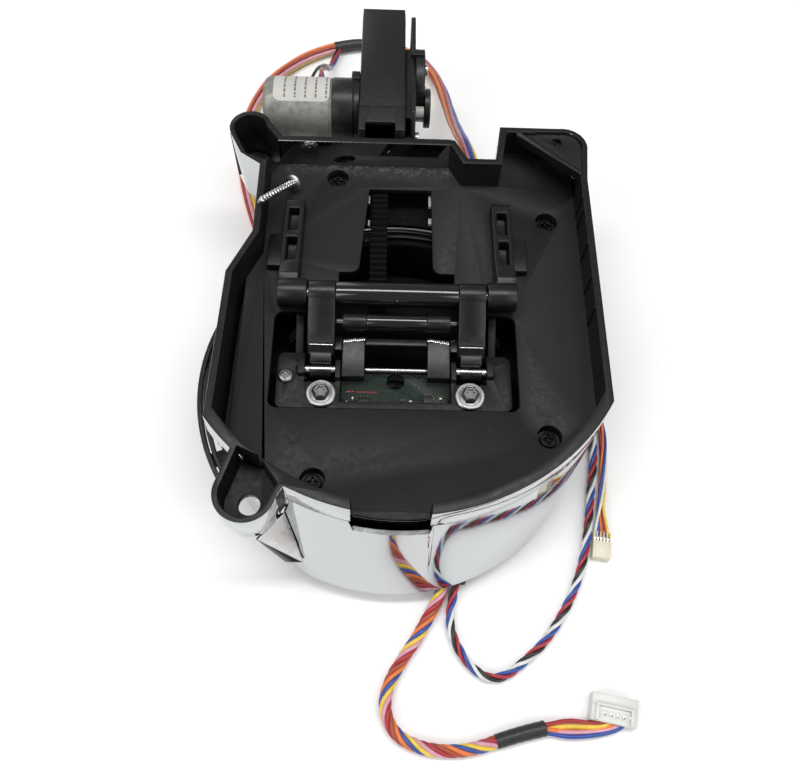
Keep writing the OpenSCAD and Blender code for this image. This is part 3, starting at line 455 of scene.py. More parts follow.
def add_tube(bm, line, radius, sides=10, material=0):
    """Adds a closed round tube along a line in millimetres. The radius may change along it."""
    rings = []
    for i, (p, _, u, v) in enumerate(frames_along(line)):
        r = radius[i] if isinstance(radius, list) else radius
        ring = []
        for k in range(sides):
            a = 2 * math.pi * k / sides
            ring.append(bm.verts.new((p + u * r * math.cos(a) + v * r * math.sin(a)) * MM))
        rings.append(ring)
    for lower, upper in zip(rings, rings[1:]):
        for k in range(sides):
            after = (k + 1) % sides
            bm.faces.new((lower[k], lower[after], upper[after], upper[k])).material_index = material
    bm.faces.new(list(reversed(rings[0]))).material_index = material
    bm.faces.new(rings[-1]).material_index = material


def strands(line, count, ring_r, pitch_mm, phase=0.0, wander=0.0, flat=1.0):
    """Centre lines of wires that run round a line, one turn in pitch_mm."""
    frames = frames_along(line)
    made = []
    for k in range(count):
        turned = 2 * math.pi * k / count + phase
        strand = []
        for i, (p, _, u, v) in enumerate(frames):
            if i:
                turned += 2 * math.pi * (p - frames[i - 1][0]).length / pitch_mm
            r = ring_r * (1 + wander * math.sin(0.9 * i * 0.35 + 2.1 * k))
            strand.append(p + u * r * math.cos(turned) + v * r * flat * math.sin(turned))
        made.append(strand)
    return made


def settle(line, low):
    """Keeps a wire's centre line above the surface that it lies on."""
    return [Vector((p.x, p.y, max(p.z, low))) for p in line]


# The routes of the free leads, as the CAD source has them
MAIN_ROUTE = [
    (17, -60, 3.2), (16.3, -64.4, 2.7), (12.6, -71.4, 2.3), (8.8, -78.2, 2.3),
    (4.2, -85, 2.3), (0.4, -91.6, 2.3), (-1.4, -98.2, 2.3), (-0.3, -103.8, 2.3),
    (2.9, -108, 2.3), (8, -110.6, 2.3), (14, -112, 2.3), (21, -112.1, 2.3),
    (27.4, -111.1, 2.35), (33, -109.4, 2.4), (40.6, -107.2, 2.5),
    (48.6, -105.3, 2.5), (55, -105, 2.5), (61, -105.8, 2.5),
    (65.6, -106, 2.8), (69, -104.3, 3.1),
]
LOOP_ROUTE = [
    (21.5, -60, 2.8), (20.6, -65, 2.2), (19.6, -70.4, 1.85), (20, -76.4, 1.85),
    (22.4, -82.2, 1.85), (26.2, -87.2, 1.85), (31.2, -90.4, 1.85),
    (36.8, -89.8, 1.85), (43, -85.6, 1.85), (49.2, -80.2, 1.85),
    (54.2, -74.2, 1.85), (58.6, -67.4, 1.85), (62.4, -60, 1.85),
    (65.4, -52, 1.85), (67.6, -43.6, 1.85), (69.2, -35, 1.85),
    (70.6, -26.4, 1.85), (72.2, -17.6, 1.85), (73, -8.6, 1.85),
    (72, -0.6, 1.85), (68.4, 5.2, 1.85), (64.4, 7.6, 2.2), (60, 8, 2.8),
]
SENSOR_ROUTE = [
    (60, 14.5, 2.8), (65.4, 14, 2.2), (70.6, 11.6, 1.7), (74.4, 6.8, 1.6),
    (76.4, 0, 1.6), (76.9, -8, 1.6), (76.2, -16, 1.6), (75, -24, 1.6),
    (73.8, -31, 1.65), (73, -36.6, 1.8), (72.8, -41.6, 2.1),
]
REAR_ROUTE = [
    (28.3, 80.9, 43.2), (27.2, 85.4, 43.4), (26, 91, 43), (25, 97, 41),
    (24.4, 104, 36.8), (24, 111, 31.8), (23.6, 119, 26.4), (23, 128, 21),
    (22.4, 137, 16.2), (21.6, 146, 12.2), (20.6, 155, 9), (19, 164.2, 6.4),
    (16.4, 173, 4.5), (12.2, 181, 3.3), (6.2, 187.8, 2.7),
    (-1.6, 192.2, 2.75), (-11, 194.2, 2.75), (-20.6, 193.8, 2.75),
    (-30, 191.4, 2.75), (-38.4, 187.4, 2.6), (-46.2, 181.8, 2.6),
    (-53.2, 174.8, 2.6), (-59, 166.6, 2.6), (-63.2, 157.2, 2.6),
    (-65.8, 146.8, 2.6), (-66.8, 135.6, 2.6), (-66.6, 124.4, 2.6),
    (-65.2, 113.2, 2.6), (-62.6, 102, 2.6), (-59, 90.8, 2.6),
    (-54.8, 79.6, 2.6), (-50.6, 68.4, 2.6), (-47, 57.4, 2.6),
    (-44, 48.4, 3), (-41.6, 42.4, 3.4),
]
MOTOR_ROUTE = [
    (-32, 125.4, 41.4), (-32, 130, 41), (-31.9, 138, 37.8),
    (-31.7, 146, 31.8), (-31.5, 154, 24.6), (-31.3, 162, 17.2),
    (-31, 170, 10.2), (-30.6, 177, 5.4), (-29.9, 183, 3.4), (-28.2, 189.6, 3),
]
PLUG_PLACE = Matrix.Translation(point(70.4, -99.8, 0)) @ Matrix.Rotation(math.radians(-11), 4, "Z")
SENSOR_PLUG_PLACE = Matrix.Translation(point(72.2, -46.6, 0)) @ Matrix.Rotation(math.radians(-9), 4, "Z")


def lead_piece(name, node, wires, radius_mm):
    """One lead: all its wires in one mesh, which stands for the CAD tube."""
    bm = bmesh.new()
    colours = []
    for colour, line in wires:
        if colour not in colours:
            colours.append(colour)
        add_tube(bm, settle(line, radius_mm), radius_mm, 10, colours.index(colour))
    looks = ["wire_" + c for c in colours]
    piece = from_bmesh(name, bm, looks, NODES[node]["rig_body"], [node], 60)
    return piece


def shrink_sleeve(name, node, route, first, last, radius_mm, flare):
    """Black shrink sleeve over a stretch of a lead, lightly wrinkled and fuller at one end."""
    line = smooth_line(route[first : last + 1], 0.5)
    count = len(line)
    radii = []
    for i in range(count):
        t = i / (count - 1)
        rim = 0.12 if i in (0, count - 1) else 0.0
        radii.append(radius_mm + flare * (t - 0.5) + 0.03 * math.sin(i * 1.3) - rim)
    bm = bmesh.new()
    add_tube(bm, line, radii, 20)
    return from_bmesh(name, bm, ["sleeve_black"], NODES[node]["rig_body"], [node], 50)


def bezier(a, b, c, d, count):
    """Points on a cubic curve with end points a and d."""
    made = []
    for i in range(count + 1):
        t = i / count
        s = 1 - t
        made.append(a * s**3 + b * 3 * s * s * t + c * 3 * s * t * t + d * t**3)
    return made


def main_plug():
    """Six-way plug of the main lead, with latch windows, ribs and keys."""
    bm = bmesh.new()
    rounded_box(bm, (-7.3, -4.3, 0.1), (7.3, 1.4, 4.9), 0.35)
    rounded_box(bm, (-7.3, 1.2, 0.1), (7.3, 4.1, 0.9), 0.25)
    rounded_box(bm, (-7.3, 1.2, 4.2), (7.3, 4.1, 4.9), 0.25)
    for x in (-7.3, 6.5):
        rounded_box(bm, (x, 1.2, 0.3), (x + 0.8, 4.1, 4.7), 0.2)
    for i in range(5):
        x = -4 + 2 * i
        rounded_box(bm, (x - 0.25, 1.2, 0.5), (x + 0.25, 3.5, 4.5), 0.08)
    for i in range(6):
        x = -5 + 2 * i
        rounded_box(bm, (x - 0.62, -2.9, 4.75), (x + 0.62, -2.5, 5.3), 0.08)
        rounded_box(bm, (x - 0.62, -2.6, 4.75), (x - 0.3, -0.9, 5.2), 0.06)
        rounded_box(bm, (x + 0.3, -2.6, 4.75), (x + 0.62, -0.9, 5.2), 0.06)
    rounded_box(bm, (-6.1, 0.2, 4.7), (6.1, 0.9, 6.1), 0.2)
    for x in (-6.1, 4.9):
        rounded_box(bm, (x, -4.2, 4.7), (x + 1.2, 0.6, 5.9), 0.25)
    bmesh.ops.transform(bm, matrix=PLUG_PLACE, verts=bm.verts)
    piece = from_bmesh("main_plug_shell", bm, ["plug_nylon"], "housing", ["main_lead_plug"])
    bm = bmesh.new()
    for i in range(6):
        x = -5 + 2 * i
        rounded_box(bm, (x - 0.28, -2.4, 4.6), (x + 0.28, -1, 4.98), 0.06)
        rounded_box(bm, (x - 0.45, 0.9, 2.1), (x + 0.45, 3.2, 3.1), 0.08)
    bmesh.ops.transform(bm, matrix=PLUG_PLACE, verts=bm.verts)
    contacts = from_bmesh("main_plug_contacts", bm, ["bright_steel"], "housing")
    return piece, contacts


def sensor_plug():
    """Five-way cream plug of the small lead, with its crimps showing at the wires' end."""
    bm = bmesh.new()
    rounded_box(bm, (-3.1, -4.9, 0.1), (3.1, 1.2, 3.6), 0.3)
    rounded_box(bm, (-3.1, 1, 0.1), (3.1, 4.8, 1.1), 0.15)
    for i in range(6):
        x = -2.9 + 1.12 * i
        rounded_box(bm, (x - 0.13, 1, 0.4), (x + 0.13, 4.6, 3.2), 0.05)
    for x in (-2.3, 1.9):
        rounded_box(bm, (x, -4.4, 3.3), (x + 0.5, -0.2, 3.75), 0.12)
    bmesh.ops.transform(bm, matrix=SENSOR_PLUG_PLACE, verts=bm.verts)
    piece = from_bmesh(
        "sensor_plug_shell", bm, ["cream_nylon"], "housing", ["sensor_lead_plug"]
    )
    bm = bmesh.new()
    for i in range(5):
        x = -2.34 + 1.12 * i
        rounded_box(bm, (x - 0.3, 1.2, 1.2), (x + 0.3, 3.9, 2.1), 0.08)
        rounded_box(bm, (x - 0.34, 2, 1.9), (x - 0.2, 3.2, 2.6), 0.04)
        rounded_box(bm, (x + 0.2, 2, 1.9), (x + 0.34, 3.2, 2.6), 0.04)
    bmesh.ops.transform(bm, matrix=SENSOR_PLUG_PLACE, verts=bm.verts)
    contacts = from_bmesh("sensor_plug_contacts", bm, ["bright_steel"], "housing")
    return piece, contacts


def make_main_lead():
    """Six twisted wires, a shrink sleeve, then loose wires into the white plug."""
    order = ["yellow", "blue", "orange", "rust", "red", "pink"]
    wire_r = 0.7
    sleeve = shrink_sleeve("main_sleeve", "main_lead_sleeve", MAIN_ROUTE, 13, 15, 2.32, 0.16)
    shell, contacts = main_plug()
    twisted = smooth_line(MAIN_ROUTE[:15], 0.8)
    wires = []
    starts = {}
    for colour, line in zip(order, strands(twisted, 6, 1.34, 19, 0.5, 0.03)):
        wires.append((colour, line))
        starts[colour] = line[-1]
    entry_order = ["red", "rust", "yellow", "orange", "pink", "blue"]
    sag = {"red": 2.2, "rust": 1.3, "yellow": 0.5, "orange": -0.6, "pink": -1.2, "blue": -2.5}
    out = Vector((48.2, -105.4, 2.6))
    for i, colour in enumerate(entry_order):
        entry = PLUG_PLACE @ point(-3.6 + 1.4 * i, -3.9, 2.4) * (1 / MM)
        side = sag[colour]
        mid = Vector((57, -105.2 + side, 1.3 + 0.5 * (i % 3)))
        a = Vector((out.x, out.y + side * 0.45, out.z + 0.5 * math.cos(2.1 * i)))
        reach = Vector((entry.x - 2.4, entry.y - 1.4 - 0.2 * i, 1.6))
        first = bezier(starts[colour], starts[colour] + Vector((4, 1, 0)), a - Vector((3, -0.6, 0)), a, 10)
        second = bezier(a, a + Vector((4, side * 0.25, -0.3)), mid - Vector((3.4, 0, 0)), mid, 10)
        third = bezier(mid, mid + Vector((4, 0, 0)), reach, entry, 14)
        wires.append((colour, first + second[1:] + third[1:]))
    lead_piece(
        "main_wires", "main_lead", wires, wire_r
    )


def make_loop_lead():
    """Four wires twisted together, in a loop from the drum's front to its right side."""
    order = ["black", "white", "blue", "red"]
    wires = list(zip(order, strands(smooth_line(LOOP_ROUTE, 0.8), 4, 0.9, 17, 1.2, 0.05)))
    lead_piece("loop_wires", "loop_lead", wires, 0.6)


def make_sensor_lead():
    """Five thin wires, hardly twisted, into the cream plug."""
    shell, contacts = sensor_plug()
    order = ["white", "blue", "orange", "red", "yellow"]
    wires = []
    body = smooth_line(SENSOR_ROUTE[:9], 0.8)
    for i, (colour, line) in enumerate(zip(order, strands(body, 5, 0.92, 64, 2.6, 0.04, 0.9))):
        entry = SENSOR_PLUG_PLACE @ point(-2.34 + 1.12 * i, 3.2, 1.7) * (1 / MM)
        leave, arrive = line[-1] + Vector((-0.9, -3.4, 0)), entry + Vector((0.5, 3.6, 0.1))
        tail = bezier(line[-1], leave, arrive, entry, 14)
        wires.append((colour, line + tail[1:]))
    lead_piece("sensor_wires", "sensor_lead", wires, 0.5)


def make_rear_harness():
    """Seven wires that leave the tray's notch and pass behind the drive."""
    order = ["orange", "mauve", "blue", "yellow", "pink", "rust"]
    line = smooth_line(REAR_ROUTE, 1.2)
    wires = list(zip(order, strands(line, 6, 1.6, 420, -0.37, 0.05)))
    wires.append(("red", line))
    sleeve = shrink_sleeve("rear_sleeve", "rear_harness_sleeve", REAR_ROUTE, 16, 18, 2.56, 0.1)
    lead_piece("rear_wires", "rear_harness", wires, 0.82)


def make_motor_lead():
    """Four wires from behind the motor into the harness's sleeve."""
    order = ["black", "red", "blue", "grey"]
    line = smooth_line(MOTOR_ROUTE, 1.2)
    wires = []
    shifts = (-2.5, -0.4, 1.7, 2.3)
    for shift, colour, strand in zip(shifts, order, strands(line, 4, 0.85, 70, 0.4, 0.06)):
        fade = [max(0.0, 1 - i / 26) for i in range(len(strand))]
        wires.append((colour, [p + Vector((shift * f * f, 0, 0)) for p, f in zip(strand, fade)]))
    lead_piece("motor_wires", "motor_lead", wires, 0.62)


def make_camera():
    """Camera at the photograph's viewing angle: 63 degrees down, turned a little."""
    heading, pitch, roll = (math.radians(a) for a in (2.802, 63.148, 3.721))
    forward = Vector(
        (math.sin(heading) * math.cos(pitch), math.cos(heading) * math.cos(pitch), -math.sin(pitch))
    )
    level = Vector((math.cos(heading), -math.sin(heading), 0))
    lift = level.cross(forward)
    right = level * math.cos(roll) + lift * math.sin(roll)
    up = lift * math.cos(roll) - level * math.sin(roll)
    axes = Matrix((right, up, -forward)).transposed()
    data = bpy.data.cameras.new("camera")
    data.sensor_width = 36
    data.lens = 36.893
    data.clip_start = 0.01
    camera = bpy.data.objects.new("camera", data)
    bpy.context.scene.collection.objects.link(camera)
    camera.matrix_world = Matrix.Translation(point(-4.488, -126.893, 276.034)) @ axes.to_4x4()
    bpy.context.scene.camera = camera


# ---------- tray and band ----------

FRONT_CENTRE = Vector((1.9, 21.3, 0))
FRONT_R = 74.9
RIM_Z = 52
FLOOR_Z = 40
BAND_R = 65.6
BAND_Z = 7
LIP_Z = 46


def band_ring(z):
    """Centre and radius of the front wall's outer surface at a height."""
    k = (z - BAND_Z) / (RIM_Z - BAND_Z)
    return FRONT_CENTRE * k, BAND_R + (FRONT_R - BAND_R) * k


def taper_lip(bm):
    """Leans the tray's front lip so that it carries on the band's slope."""
    centre, radius = band_ring(LIP_Z)
    for v in bm.verts:
        p = v.co / MM
        flat = Vector((p.x, p.y, 0)) - FRONT_CENTRE
        if abs(flat.length - FRONT_R) < 0.12 and p.y < 9.9 and p.z < LIP_Z + 0.1 and p.z > LIP_Z - 0.1:
            moved = centre + flat.normalized() * radius
            v.co = Vector((moved.x, moved.y, p.z)) * MM


def tray():
    bm = cleaned("housing_tray")
    taper_lip(bm)
    soften(bm, 0.22, 40)
    bm.normal_update()
    walls = BVHTree.FromBMesh(bm)
    for face in bm.faces:
        middle = face.calc_center_median()
        level = Vector((face.normal.x, face.normal.y, 0))
        if abs(face.normal.z) > 0.75:
            high = middle.z > (RIM_Z - 0.5) * MM
            face.material_index = 1 if high else 0
        elif middle.z > 31 * MM and level.length > 0.3:
            level.normalize()
            hit = walls.ray_cast(middle + level * 0.0004, level, 0.4)[0]
            face.material_index = 2 if hit is None else 1
    looks = ["matte_black_tray", "tray_wall_plastic", "mirror_film"]
    return from_bmesh("tray", bm, looks, "housing", ["housing_tray"])


def crossing(z, a, b, right=False):
    """Angle, seen from the wall's centre, at which its surface at height z meets a line in plan."""
    centre, radius = band_ring(z)
    start, way = Vector((*a, 0)) - centre, Vector((b[0] - a[0], b[1] - a[1], 0))
    p, q = start.dot(way) / way.length_squared, (start.length_squared - radius**2) / way.length_squared
    root = math.sqrt(p * p - q)
    ends = [start + way * t for t in (-p - root, -p + root)]
    chosen = max(ends, key=lambda v: v.x) if right else min(ends, key=lambda v: v.y)
    return math.atan2(chosen.y, chosen.x)


NOTCH_X = (-12.8, 10.7)
NOTCH_Z = 41.7
BAND_TOP = 45.95
SEAM = ((-33.2, -39.0), (-26.0, -68.6))
RETURN_END = ((-32.9, -39.0), (-37.9, -68.6))


def band_sheet(name, columns, top_of, inset, thick, replaces=()):
    """A stretch of the ruled front wall. Columns run from 0 to 1 between its two ends."""
    rows = 14
    bm = bmesh.new()
    sheets = []
    for depth in (inset, inset + thick):
        grid = []
        for share in columns:
            line = []
            for j in range(rows + 1):
                z = BAND_Z
                for _ in range(3):
                    centre, radius = band_ring(z)
                    angle = angle_at(name, z, share)
                    spot = centre + Vector((math.cos(angle), math.sin(angle), 0)) * (radius - depth)
                    z = BAND_Z + (top_of(spot.x) - BAND_Z) * j / rows
                line.append(bm.verts.new(Vector((spot.x, spot.y, z)) * MM))
            grid.append(line)
        sheets.append(grid)
    outer, inner = sheets
    last = len(columns) - 1
    for i in range(last):
        for j in range(rows):
            bm.faces.new((outer[i][j], outer[i + 1][j], outer[i + 1][j + 1], outer[i][j + 1]))
            bm.faces.new((inner[i][j], inner[i][j + 1], inner[i + 1][j + 1], inner[i + 1][j]))
        bm.faces.new((outer[i][0], inner[i][0], inner[i + 1][0], outer[i + 1][0]))
        bm.faces.new((outer[i][rows], outer[i + 1][rows], inner[i + 1][rows], inner[i][rows]))
    for j in range(rows):
        bm.faces.new((outer[0][j], outer[0][j + 1], inner[0][j + 1], inner[0][j]))
        bm.faces.new((outer[last][j], inner[last][j], inner[last][j + 1], outer[last][j + 1]))
    bmesh.ops.recalc_face_normals(bm, faces=bm.faces)
    return from_bmesh(name, bm, ["mirror_film"], "housing", replaces, 50)


def angle_at(name, z, share):
    """Angle of a column of the front wall, or of its short return left of the seam."""
    seam = crossing(z, *SEAM)
    if name == "band_return":
        return crossing(z, *RETURN_END) * (1 - share) + (seam - 0.004) * share
    level = crossing(z, (0.0, -17.6), (64.2, -17.6), True)
    slanted = crossing(z, (90.0, -60.0), (64.2, -17.6), True)
    return seam * (1 - share) + min(level, slanted) * share


def front_band():
    """The bright curved wall under the tray's front lip, and its return behind the ear's rib."""

    def top_of(x):
        inside = min(x - NOTCH_X[0], NOTCH_X[1] - x)
        return BAND_TOP + (NOTCH_Z - BAND_TOP) * min(1.0, max(0.0, inside / 0.7 + 0.5))

    band_sheet("front_band", [i / 260 for i in range(261)], top_of, 0.0, 1.45, ["mirror_band"])
    band_sheet("band_return", [i / 12 for i in range(13)], lambda x: BAND_TOP, 0.25, 1.2)


def tray_details():
    """Small moulded marks on the tray: a raised ring, wall ribs and seam steps on the rim."""
    bm = bmesh.new()
    ring = [(1.5, 0), (1.5, 0.22), (1.75, 0.3), (2.05, 0.3), (2.3, 0.2), (2.3, 0)]
    lathe(bm, ring, (-31.9, -24.8, FLOOR_Z), (0, 0, 1))
    for y in (64.2, 58.8, 44.2, 30.8, 18.2):
        rounded_box(bm, (64.1, y - 0.25, FLOOR_Z + 0.6), (64.75, y + 0.25, RIM_Z - 0.1), 0.1)
    for x, y in ((-55.2, 22.1), (-56.2, 8), (-56.5, -6.4)):
        rounded_box(bm, (x - 0.7, y - 0.3, FLOOR_Z + 0.6), (x + 0.2, y + 0.3, RIM_Z - 0.1), 0.1)
    bmesh.ops.recalc_face_normals(bm, faces=bm.faces)
    from_bmesh("tray_marks", bm, ["matte_black_tray"], "housing")


# ---------- screws ----------


def threaded_screw():
    """The loose self-tapping screw: threads, a serrated flange head and a round recess in its top."""
    tip, head = Vector((-48, 54, 56)), Vector((-38, 74.4, 43.4))
    axis = (tip - head).normalized()
    length = (tip - head).length
    turn = Vector((0, 0, 1)).rotation_difference(axis).to_matrix().to_4x4()
    place = Matrix.Translation(head * MM) @ turn
    bm = bmesh.new()
    steps, pitch, core, crest = 20, 1.75, 0.98, 1.42
    start, stop = 1.4, length - 0.4
    rows = []
    count = int((stop - start) / pitch * 6)
    for j in range(count + 1):
        row = []
        for k in range(steps):
            a = 2 * math.pi * k / steps
            z = start + (stop - start) * j / count
            turns = (z - start) / pitch - k / steps
            wave = abs((turns % 1.0) - 0.5) * 2
            crest_here = max(0.0, 1 - wave * 2.3)
            taper = min(1.0, max(0.15, (length - z) / 3.2))
            r = (core + (crest - core) * crest_here) * taper
            row.append(bm.verts.new(Vector((r * math.cos(a), r * math.sin(a), z)) * MM))
        rows.append(row)
    for lower, upper in zip(rows, rows[1:]):
        for k in range(steps):
            after = (k + 1) % steps
            bm.faces.new((lower[k], lower[after], upper[after], upper[k]))
    bm.faces.new(rows[-1])
    bm.faces.new(list(reversed(rows[0])))
    head_outline = [(0, 1.5), (1.1, 1.5), (1.2, 1.15), (2.6, 1.1), (2.85, 0.95), (2.85, 0.55)]
    head_outline += [(2.3, 0.4), (2.15, -0.2), (1.7, -0.52), (0.5, -0.58), (0.4, -0.15), (0, 0.1)]
    lathe(bm, head_outline, (0, 0, 0), (0, 0, 1), 36)
    for k in range(18):
        a = 2 * math.pi * k / 18
        turned = Matrix.Rotation(a, 4, "Z")
        made = rounded_box(bm, (2.2, -0.16, 0.35), (2.85, 0.16, 1.05), 0.06, 1)
        bmesh.ops.transform(bm, matrix=turned, verts=made)
    bmesh.ops.transform(bm, matrix=place, verts=bm.verts)
    bmesh.ops.recalc_face_normals(bm, faces=bm.faces)
    from_bmesh("loose_screw", bm, ["bright_steel"], "housing", ["mounting_screw"], 45)


def cross_head(bm, place, radius, height, recess, lobes=4, hexed=False):
    """A pan or hexagon head with a lobed recess, standing on place with +Z up."""
    steps = 48
    outline = [(radius, 0), (radius, height * 0.45), (radius * 0.93, height * 0.78), (radius * 0.74, height)]
    rings = []
    side = [1.0] * steps
    if hexed:
        side = [0.9 / math.cos(math.pi * ((6 * k / steps) % 1 - 0.5) / 3) for k in range(steps)]
    for r, z in outline:
        rings.append([(r * share, z) for share in side])
    star = []
    for k in range(steps):
        a = 2 * math.pi * k / steps
        star.append(recess * (0.62 + 0.38 * abs(math.cos(lobes / 2 * a)) ** 1.5))
    rings.append([(s, height) for s in star])
    rings.append([(s * 0.86, height - 0.55) for s in star])
    made = []
    for ring in rings:
        row = []
        for k, (r, z) in enumerate(ring):
            a = 2 * math.pi * k / steps
            spot = Vector((r * math.cos(a), r * math.sin(a), z)) + Vector(place)
            row.append(bm.verts.new(spot * MM))
        made.append(row)
    for lower, upper in zip(made, made[1:]):
        for k in range(steps):
            after = (k + 1) % steps
            bm.faces.new((lower[k], lower[after], upper[after], upper[k]))
    bm.faces.new(made[-1])
    bm.faces.new(list(reversed(made[0])))


WASHER_SEAT = -7, 35.01
FLANGE_X = 24.5
BRACKET_SCREW = (-36.5, -0.5, 34.42)


def carriage_fixings():
    """Flange screws with six-lobe recesses, ribbed washers and the small cross screw."""
    bm = bmesh.new()
    for x in (-FLANGE_X, FLANGE_X):
        cross_head(bm, (x, WASHER_SEAT[0], 36.2), 2.85, 1.75, 1.55, 6, True)
        lathe(bm, [(1.2, -8), (1.2, 0.3)], (x, WASHER_SEAT[0], 35.9), (0, 0, 1), 24)
    from_bmesh("flange_screw_heads", bm, ["dark_steel"], "carriage", ["flange_screws"])
    bm = bmesh.new()
    for x in (-FLANGE_X, FLANGE_X):
        profile = [(3.8, 0.8), (3.7, 0.6), (3.5, 0.55), (3.3, 0.62), (1.6, 0.62), (1.6, 0.05), (4.6, 0.05)]
        lathe(bm, profile, (x, *WASHER_SEAT), (0, 0, 1), 56, 1)
        edge = [(4.6, 0.05), (4.88, 0.3), (4.88, 0.55), (4.6, 0.78), (3.8, 0.8)]
        lathe(bm, edge, (x, *WASHER_SEAT), (0, 0, 1), 56)
    bmesh.ops.remove_doubles(bm, verts=bm.verts, dist=1e-6)
    bmesh.ops.recalc_face_normals(bm, faces=bm.faces)
    looks = ["washer_steel", "dark_steel"]
    from_bmesh("ribbed_washers", bm, looks, "carriage", ["flange_washers"])
    bm = bmesh.new()
    cross_head(bm, BRACKET_SCREW, 2.65, 1.25, 1.75)
    lathe(bm, [(0.95, -2.6), (0.95, 0.2)], BRACKET_SCREW, (0, 0, 1), 24)
    from_bmesh("small_cross_screw", bm, ["dark_steel"], "carriage", ["bracket_screw"])


# ---------- motor ----------

MOTOR_R = 11.5
MOTOR_AXIS = (113.1, 41.0)
MOTOR_END_X = -51.6


def motor():
    """Drawn can with a rolled end, a rounded label with generic bars, and the end cap."""
    r, (y, z) = MOTOR_R, MOTOR_AXIS
    bm = bmesh.new()
    profile = [(0, 0.05), (3.2, 0.05), (3.4, 0.35), (7.4, 0.35), (8.0, 0.05), (9.2, 0.05)]
    profile += [(10.3, 0.35), (11.1, 1.1), (11.4, 2.2), (r, 3.4), (r, 24.6), (11.2, 24.9)]
    profile += [(11.2, 25.2), (r - 0.05, 25.5), (11.2, 25.95), (0, 25.95)]
    lathe(bm, profile, (MOTOR_END_X, y, z), (1, 0, 0), 96)
    bmesh.ops.recalc_face_normals(bm, faces=bm.faces)
    from_bmesh("motor_shell", bm, ["motor_zinc"], "housing", ["motor_can"], 30)
    bm = bmesh.new()
    for side in (-1, 1):
        middle = y + side * 5.5
        low = (MOTOR_END_X + 0.05, middle - 1.2, z - 0.3)
        rounded_box(bm, low, (MOTOR_END_X + 0.6, middle + 1.2, z + 0.3), 0.08)
    from_bmesh("motor_vents", bm, ["black_part"], "housing")
    label_patch("label_sheet", -47.5, -26.4, 57.0, 142.0, r + 0.09, 2.6, "label_paper", ["motor_label"])
    random.seed(5)
    bm = bmesh.new()
    for column in range(5):
        x = -43.6 + column * 3.9
        angle = 64
        while angle < 130:
            run = random.uniform(3, 9)
            end = min(angle + run, 132)
            add_patch(bm, x, x + 0.7, angle, end, r + 0.125)
            angle = end + random.uniform(1.6, 3)
    from_bmesh("label_bars", bm, ["label_ink"], "housing", (), 60)


def on_can(x, degrees, radius):
    """A point on a cylinder round the motor's axis: 90 degrees is its top and 0 its front."""
    y, z = MOTOR_AXIS
    a = math.radians(degrees)
    return Vector((x, y - radius * math.cos(a), z + radius * math.sin(a))) * MM


def add_patch(bm, x0, x1, a0, a1, radius):
    """A thin curved bar on the can."""
    count = max(2, round((a1 - a0) / 4))
    for i in range(count):
        b0 = a0 + (a1 - a0) * i / count
        b1 = a0 + (a1 - a0) * (i + 1) / count
        corners = [(x0, b0), (x1, b0), (x1, b1), (x0, b1)]
        bm.faces.new([bm.verts.new(on_can(cx, ca, radius)) for cx, ca in corners])
    bmesh.ops.remove_doubles(bm, verts=bm.verts, dist=1e-7)


def label_patch(name, x0, x1, a0, a1, radius, corner, look, replaces):
    """A label bent round the can, with rounded corners and a real thickness."""
    bm = bmesh.new()
    nx, na = 24, 32
    arc = math.radians(a1 - a0) * radius
    grid = {}
    for i in range(nx + 1):
        for j in range(na + 1):
            u = i / nx * (x1 - x0)
            v = j / na * arc
            cu = min(max(u, corner), x1 - x0 - corner)
            cv = min(max(v, corner), arc - corner)
            du, dv = u - cu, v - cv
            if du and dv:
                scale = max(abs(du), abs(dv)) / math.hypot(du, dv)
                u, v = cu + du * scale, cv + dv * scale
            degrees = a0 + math.degrees(v / radius)
            grid[i, j] = bm.verts.new(on_can(x0 + u, degrees, radius))
    for i in range(nx):
        for j in range(na):
            bm.faces.new((grid[i, j], grid[i + 1, j], grid[i + 1, j + 1], grid[i, j + 1]))
    bmesh.ops.recalc_face_normals(bm, faces=bm.faces)
    bmesh.ops.solidify(bm, geom=bm.faces[:], thickness=0.06 * MM)
    from_bmesh(name, bm, [look], "housing", replaces, 50)


# ---------- drive details ----------


def gearbox_details():
    """The gearbox's lid, two sill ribs, a latch, and the light strip above its front window."""
    bm = bmesh.new()
    rounded_box(bm, (-15.0, 104.6, 51.2), (1.7, 157.2, 51.75), 0.18)
    for x in (-14.6, 1.2):
        rounded_box(bm, (x - 0.3, 97, 44), (x + 0.3, 152, 44.6), 0.1)
    rounded_box(bm, (4, 130.5, 51.0), (9.4, 133, 53.2), 0.3)
    from_bmesh("gearbox_lids", bm, ["black_cover"], "housing")
    bm = bmesh.new()
    rounded_box(bm, (-12.4, 100.6, 50.2), (-2, 101.6, 51.1), 0.12)
    from_bmesh("gearbox_sill", bm, ["dark_steel"], "housing")


